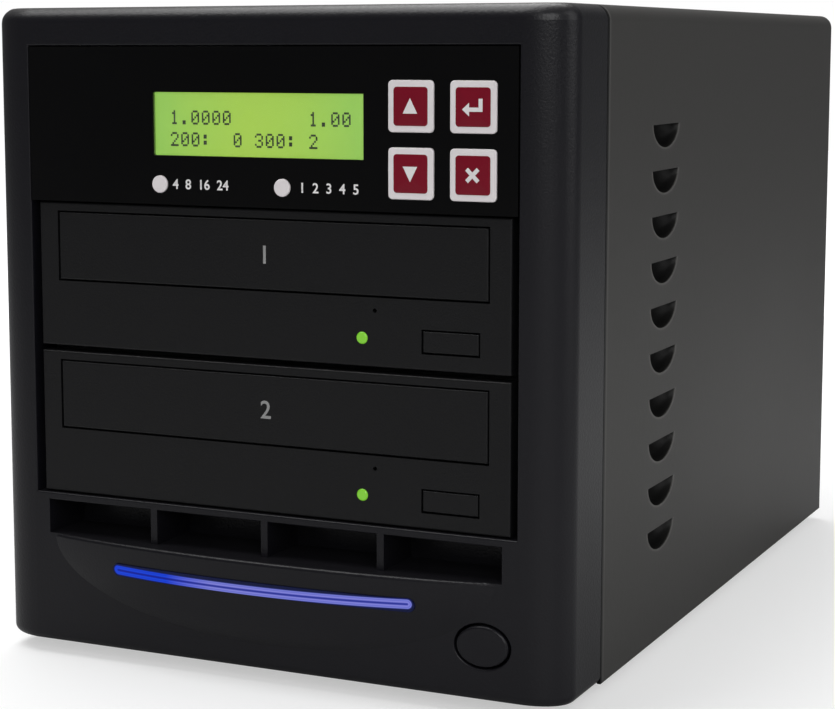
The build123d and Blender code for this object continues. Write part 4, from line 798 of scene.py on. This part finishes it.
tray_dark = moulded_finish("tray_dark", (0.014, 0.014, 0.0155), 0.4, grain_size=900.0,
                           grain_depth=0.02 * MM, Specular_IOR_Level=0.35)
frame_dark = moulded_finish("frame_dark", (0.02, 0.02, 0.021), 0.5, Specular_IOR_Level=0.4)
bay_print = lacquer_finish("bay_print", (0.3, 0.3, 0.3), 0.45)
acetal = moulded_finish("acetal_white", (0.62, 0.61, 0.56), 0.35, grain_depth=0.01 * MM,
                        Subsurface_Weight=0.1, Subsurface_Scale=0.001)
ground = steel_finish("ground_steel", (0.62, 0.62, 0.61), 0.22, (1, 0.04, 1))
can_steel = steel_finish("can_steel", (0.5, 0.5, 0.48), 0.3, (1, 1, 0.05))
door_number_height, door_number_bold, door_number_ahead = 5.0, 0.07, 0.015
door_number_x, door_number_drop = 0.3, 0.2
pad_profile = [(8.2, 0), (14.6, 0), (14.8, 0.15), (14.6, 0.3), (8.4, 0.3), (8.2, 0.15), (8.2, 0)]
turntable_under_hub = 1.75                  # millimetres from the hub's top to the pad's foot
lens_radius, lens_rim, lens_rise, lens_foot, lens_from_rear = 3.0, 0.1, 0.9, 0.9, 12.0
dress(lens_finish(), "drive_status_lenses")
dress(ground, "drive_guide_rods")
dress(can_steel, "drive_motors")
dress(frame_dark, "drive_clampers")


def turned(name, profile, centre, steps=48):
    """A shape turned about a vertical axis: each point of the profile, as radius and height in
    millimetres, runs round a circle.  Ends of no radius close the shape."""
    angle = np.linspace(0, 2 * pi, steps, endpoint=False)
    radius, height = np.array(profile, float).T
    x = radius[:, None] * np.cos(angle)
    y = radius[:, None] * np.sin(angle)
    z = np.repeat(height[:, None], steps, axis=1)
    made = grid_mesh(name, np.stack([x, y, z], -1) * MM + np.array(centre), wrap_v=True)
    join_doubles(made)
    return made


def join_doubles(piece):
    """Merge the points of a pole and turn every face outwards."""
    mesh = bmesh.new()
    mesh.from_mesh(piece.data)
    bmesh.ops.remove_doubles(mesh, verts=mesh.verts, dist=1e-7)
    bmesh.ops.recalc_face_normals(mesh, faces=mesh.faces)
    mesh.to_mesh(piece.data)
    mesh.free()


def glass_finish():
    """The coated objective lens: clear with a violet tint."""
    material, tree, shader = new_finish("objective_glass", (0.25, 0.3, 0.6), 0.05,
                                        Specular_IOR_Level=0.8, Coat_Weight=1.0)
    drifting(tree, shader, (0.2, 0.22, 0.5), size=80.0, amount=0.4)
    return material


def rubber_ring_finish():
    """Dark rubber of the turntable's pad."""
    material, tree, shader = new_finish("pad_rubber", (0.02, 0.02, 0.02), 0.8)
    drifting(tree, shader, (0.022, 0.022, 0.021), size=90.0, amount=0.3)
    return material


objective_glass = glass_finish()
pad_rubber = rubber_ring_finish()
for number, drive in ((1, "upper"), (2, "lower")):
    for piece in ("bezel", "tray_door", "eject_button"):
        dress(drive_black, f"{drive}_drive_{piece}")
    dress(zinc, f"{drive}_drive_case")
    dress(frame_dark, f"{drive}_drive_chassis", f"{drive}_drive_pickup")
    dress(tray_dark, f"{drive}_drive_tray")
    dress(acetal, f"{drive}_drive_loading_gear", f"{drive}_drive_sled_gear")
    dress(can_steel, f"{drive}_drive_spindle")
    door = f"{drive}_drive_tray_door"
    printed_text(f"{drive}_bay_number", str(number), door_number_height, door_number_x,
                 middle_of(door)[1] - door_number_drop, depth_of(door) - door_number_ahead,
                 bay_print, body=f"{drive}_tray", bold=door_number_bold)
    low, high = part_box(f"{drive}_drive_spindle")
    pad = turned(f"{drive}_drive_disc_pad", pad_profile,
                 ((low.x + high.x) / 2, (low.y + high.y) / 2,
                  high.z - turntable_under_hub * MM))
    finish_piece(pad, pad_rubber, body=f"{drive}_spindle")
    low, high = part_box(f"{drive}_drive_pickup")
    dome = [(0, 0), (lens_radius, 0)] + [(lens_radius * cos(a), lens_rim + lens_rise * sin(a))
                                         for a in np.linspace(0, pi / 2, 8)]
    lens = turned(f"{drive}_drive_objective", dome,
                  (0, high.y - lens_from_rear * MM, high.z - lens_foot * MM))
    finish_piece(lens, objective_glass, body=f"{drive}_pickup")


# ------------------------------------------------------------------ power supply
# A folded steel box screwed to the rear panel, with its own small fan, and the moulded mains
# inlet whose three blades are plated brass.
def inlet_finish():
    """Black moulding; the blades inside the socket are bright metal."""
    material, tree, shader = new_finish("inlet_black", (0.012, 0.012, 0.012), 0.42)
    low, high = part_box("mains_inlet")
    socket_z, depth, mouth = base_z + 14.15 * MM, 15.0 * MM, 1.4 * MM
    centre = ((low.x + high.x) / 2, high.y - depth / 2 - mouth, socket_z)
    blades = within(tree, centre, (8.3 * MM, depth / 2 - 1.5 * MM, 5.2 * MM))
    colour = blend(tree, blades, (0.012, 0.012, 0.012, 1), (0.75, 0.68, 0.5, 1))
    tree.links.new(colour, shader.inputs["Base Color"])
    tree.links.new(blades, shader.inputs["Metallic"])
    add_grain(tree, shader, 0.42, size=1200.0, depth=0.04 * MM, strength=0.6)
    return material


dress(zinc, "psu_case")
dress(inlet_finish(), "mains_inlet")
dress(smooth_black, "mains_rocker")


# ------------------------------------------------------------------ fans and the wire guard
# Moulded black fans; a guard of bright welded wire is held by the rear fan's four screws.
fan_black = moulded_finish("fan_black", (0.014, 0.014, 0.014), 0.45, grain_size=900.0,
                           dust_and_sheen=0.1, Specular_IOR_Level=0.4)
guard_bright = steel_finish("guard_bright", (0.66, 0.66, 0.66), 0.18, even)
dress(fan_black, "rear_fan_frame", "rear_fan_rotor", "psu_fan_frame", "psu_fan_rotor")
dress(guard_bright, "rear_fan_guard")


# ------------------------------------------------------------------ cover, rear panel and screws
# One painted steel sheet is folded over the top and both sides and pressed with ten louvres a
# side.  It is screwed to the rear panel, which carries the fan, the supply and the inlet.
def paint_finish(name, colour, shade=None):
    """Baked satin paint: orange-peel waves of a few millimetres under a very fine tooth.  A
    shade is a function of the material's tree and its plain colour that gives the final one."""
    material, tree, shader = new_finish(name, colour, 0.45, Specular_IOR_Level=0.25)
    tone = drifting(tree, shader, colour, size=5.0, amount=0.16)
    if shade:
        tree.links.new(shade(tree, tone.outputs["Colour"]), shader.inputs["Base Color"])
    peel = stretched_noise(tree, even, scale=420.0)
    tooth, tooth_share = stretched_noise(tree, even, scale=2600.0), 0.35
    height = reckon(tree, "MULTIPLY_ADD", tooth, tooth_share, peel)
    bumped(tree, shader, height, distance=0.04 * MM, strength=0.5)
    return material


cover_low, cover_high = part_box("top_cover")


def grey_ramp(tree, value, stops):
    """A grey colour by a value, through stops of place and tone."""
    return colour_ramp(tree, value, [(where, (tone,) * 3) for where, tone in stops])


louvre_half_length, louvre_drop, louvre_pitch, louvre_count = 12 * MM, 6.8 * MM, 13.2 * MM, 10
louvre_middle_y, highest_louvre_z = front_y + 80 * MM, base_z + 153 * MM


def louvre_rim(tree, axis):
    """Distance from the middle of the nearest louvre's flat edge, as a share of its half
    ellipse: the root of the two axis shares squared.  It is over 2 away from all louvres."""
    along = reckon(tree, "SUBTRACT", axis["Y"], louvre_middle_y)
    along = reckon(tree, "DIVIDE", along, louvre_half_length)
    fall = reckon(tree, "SUBTRACT", highest_louvre_z, axis["Z"])
    inside = reckon(tree, "LESS_THAN", fall, louvre_count * louvre_pitch)
    inside = reckon(tree, "MULTIPLY", inside, reckon(tree, "GREATER_THAN", fall, 0.0))
    fall = reckon(tree, "DIVIDE", reckon(tree, "MODULO", fall, louvre_pitch), louvre_drop)
    share = reckon(tree, "ADD", reckon(tree, "MULTIPLY", along, along),
                   reckon(tree, "MULTIPLY", fall, fall))
    share = reckon(tree, "SQRT", share)
    outside = reckon(tree, "MULTIPLY", reckon(tree, "SUBTRACT", 1.0, inside), 2.0)
    return reckon(tree, "ADD", share, outside)


def cover_shade(tree, painted):
    """Dust on top, then three factors multiplied: by the distance behind the cover's front
    edge, dark in the joint and a painted highlight just behind it; by the depth inwards from the
    side, ahead of the rear flange, a painted shade dark in a louvre's hollow and on the side
    walls' inner faces; and by the share of a louvre's half ellipse, a painted highlight at its
    bent rim."""
    dusty = use_group(tree, dust_and_sheen_group, {"Colour": painted, "Amount": 0.08}).outputs["Colour"]
    fold, flange, full_depth, joint_reach, rim_reach = 6 * MM, 3 * MM, 2 * MM, 4 * MM, 2.0
    axis = place_axes(tree)
    inwards = reckon(tree, "SUBTRACT", cover_high.x, reckon(tree, "ABSOLUTE", axis["X"]))
    below_fold = reckon(tree, "LESS_THAN", axis["Z"], cover_high.z - fold)
    ahead_of_flange = reckon(tree, "LESS_THAN", axis["Y"], cover_high.y - flange)
    on_side = reckon(tree, "MULTIPLY", below_fold, ahead_of_flange)
    hollow_shade_depth = reckon(tree, "MULTIPLY", reckon(tree, "DIVIDE", inwards, full_depth), on_side)
    joint = reckon(tree, "DIVIDE", reckon(tree, "SUBTRACT", axis["Y"], cover_low.y),
                   joint_reach)
    rim = reckon(tree, "DIVIDE", louvre_rim(tree, axis), rim_reach)
    # Painted shade in the louvres' hollows and on the sides' inner faces; painted highlights
    # behind the front joint and along each louvre's rim.
    factors = (grey_ramp(tree, hollow_shade_depth, ((0.0, 1.0), (0.1, 1.0), (0.2, 0.14), (1.0, 0.04))),
               grey_ramp(tree, joint, ((0.0, 0.03), (0.3, 0.03), (0.38, 1.8), (0.56, 1.6),
                                       (0.7, 1.0))),
               grey_ramp(tree, rim, ((0.49, 1.0), (0.5, 2.2), (0.525, 2.0), (0.55, 1.0))))
    shown = dusty
    for factor in factors:
        shown = put(tree, "ShaderNodeVectorMath", {0: shown, 1: factor},
                    operation="MULTIPLY").outputs[0]
    return shown


screw_bright = steel_finish("screw_bright", (0.55, 0.54, 0.51), 0.3, even)
dress(paint_finish("cover_paint_dark", (0.042, 0.0408, 0.0388), cover_shade), "top_cover")
dress(paint_finish("rear_paint_dark", (0.04, 0.039, 0.038)), "rear_panel")
dress(screw_bright, "case_screws", "drive_screws")
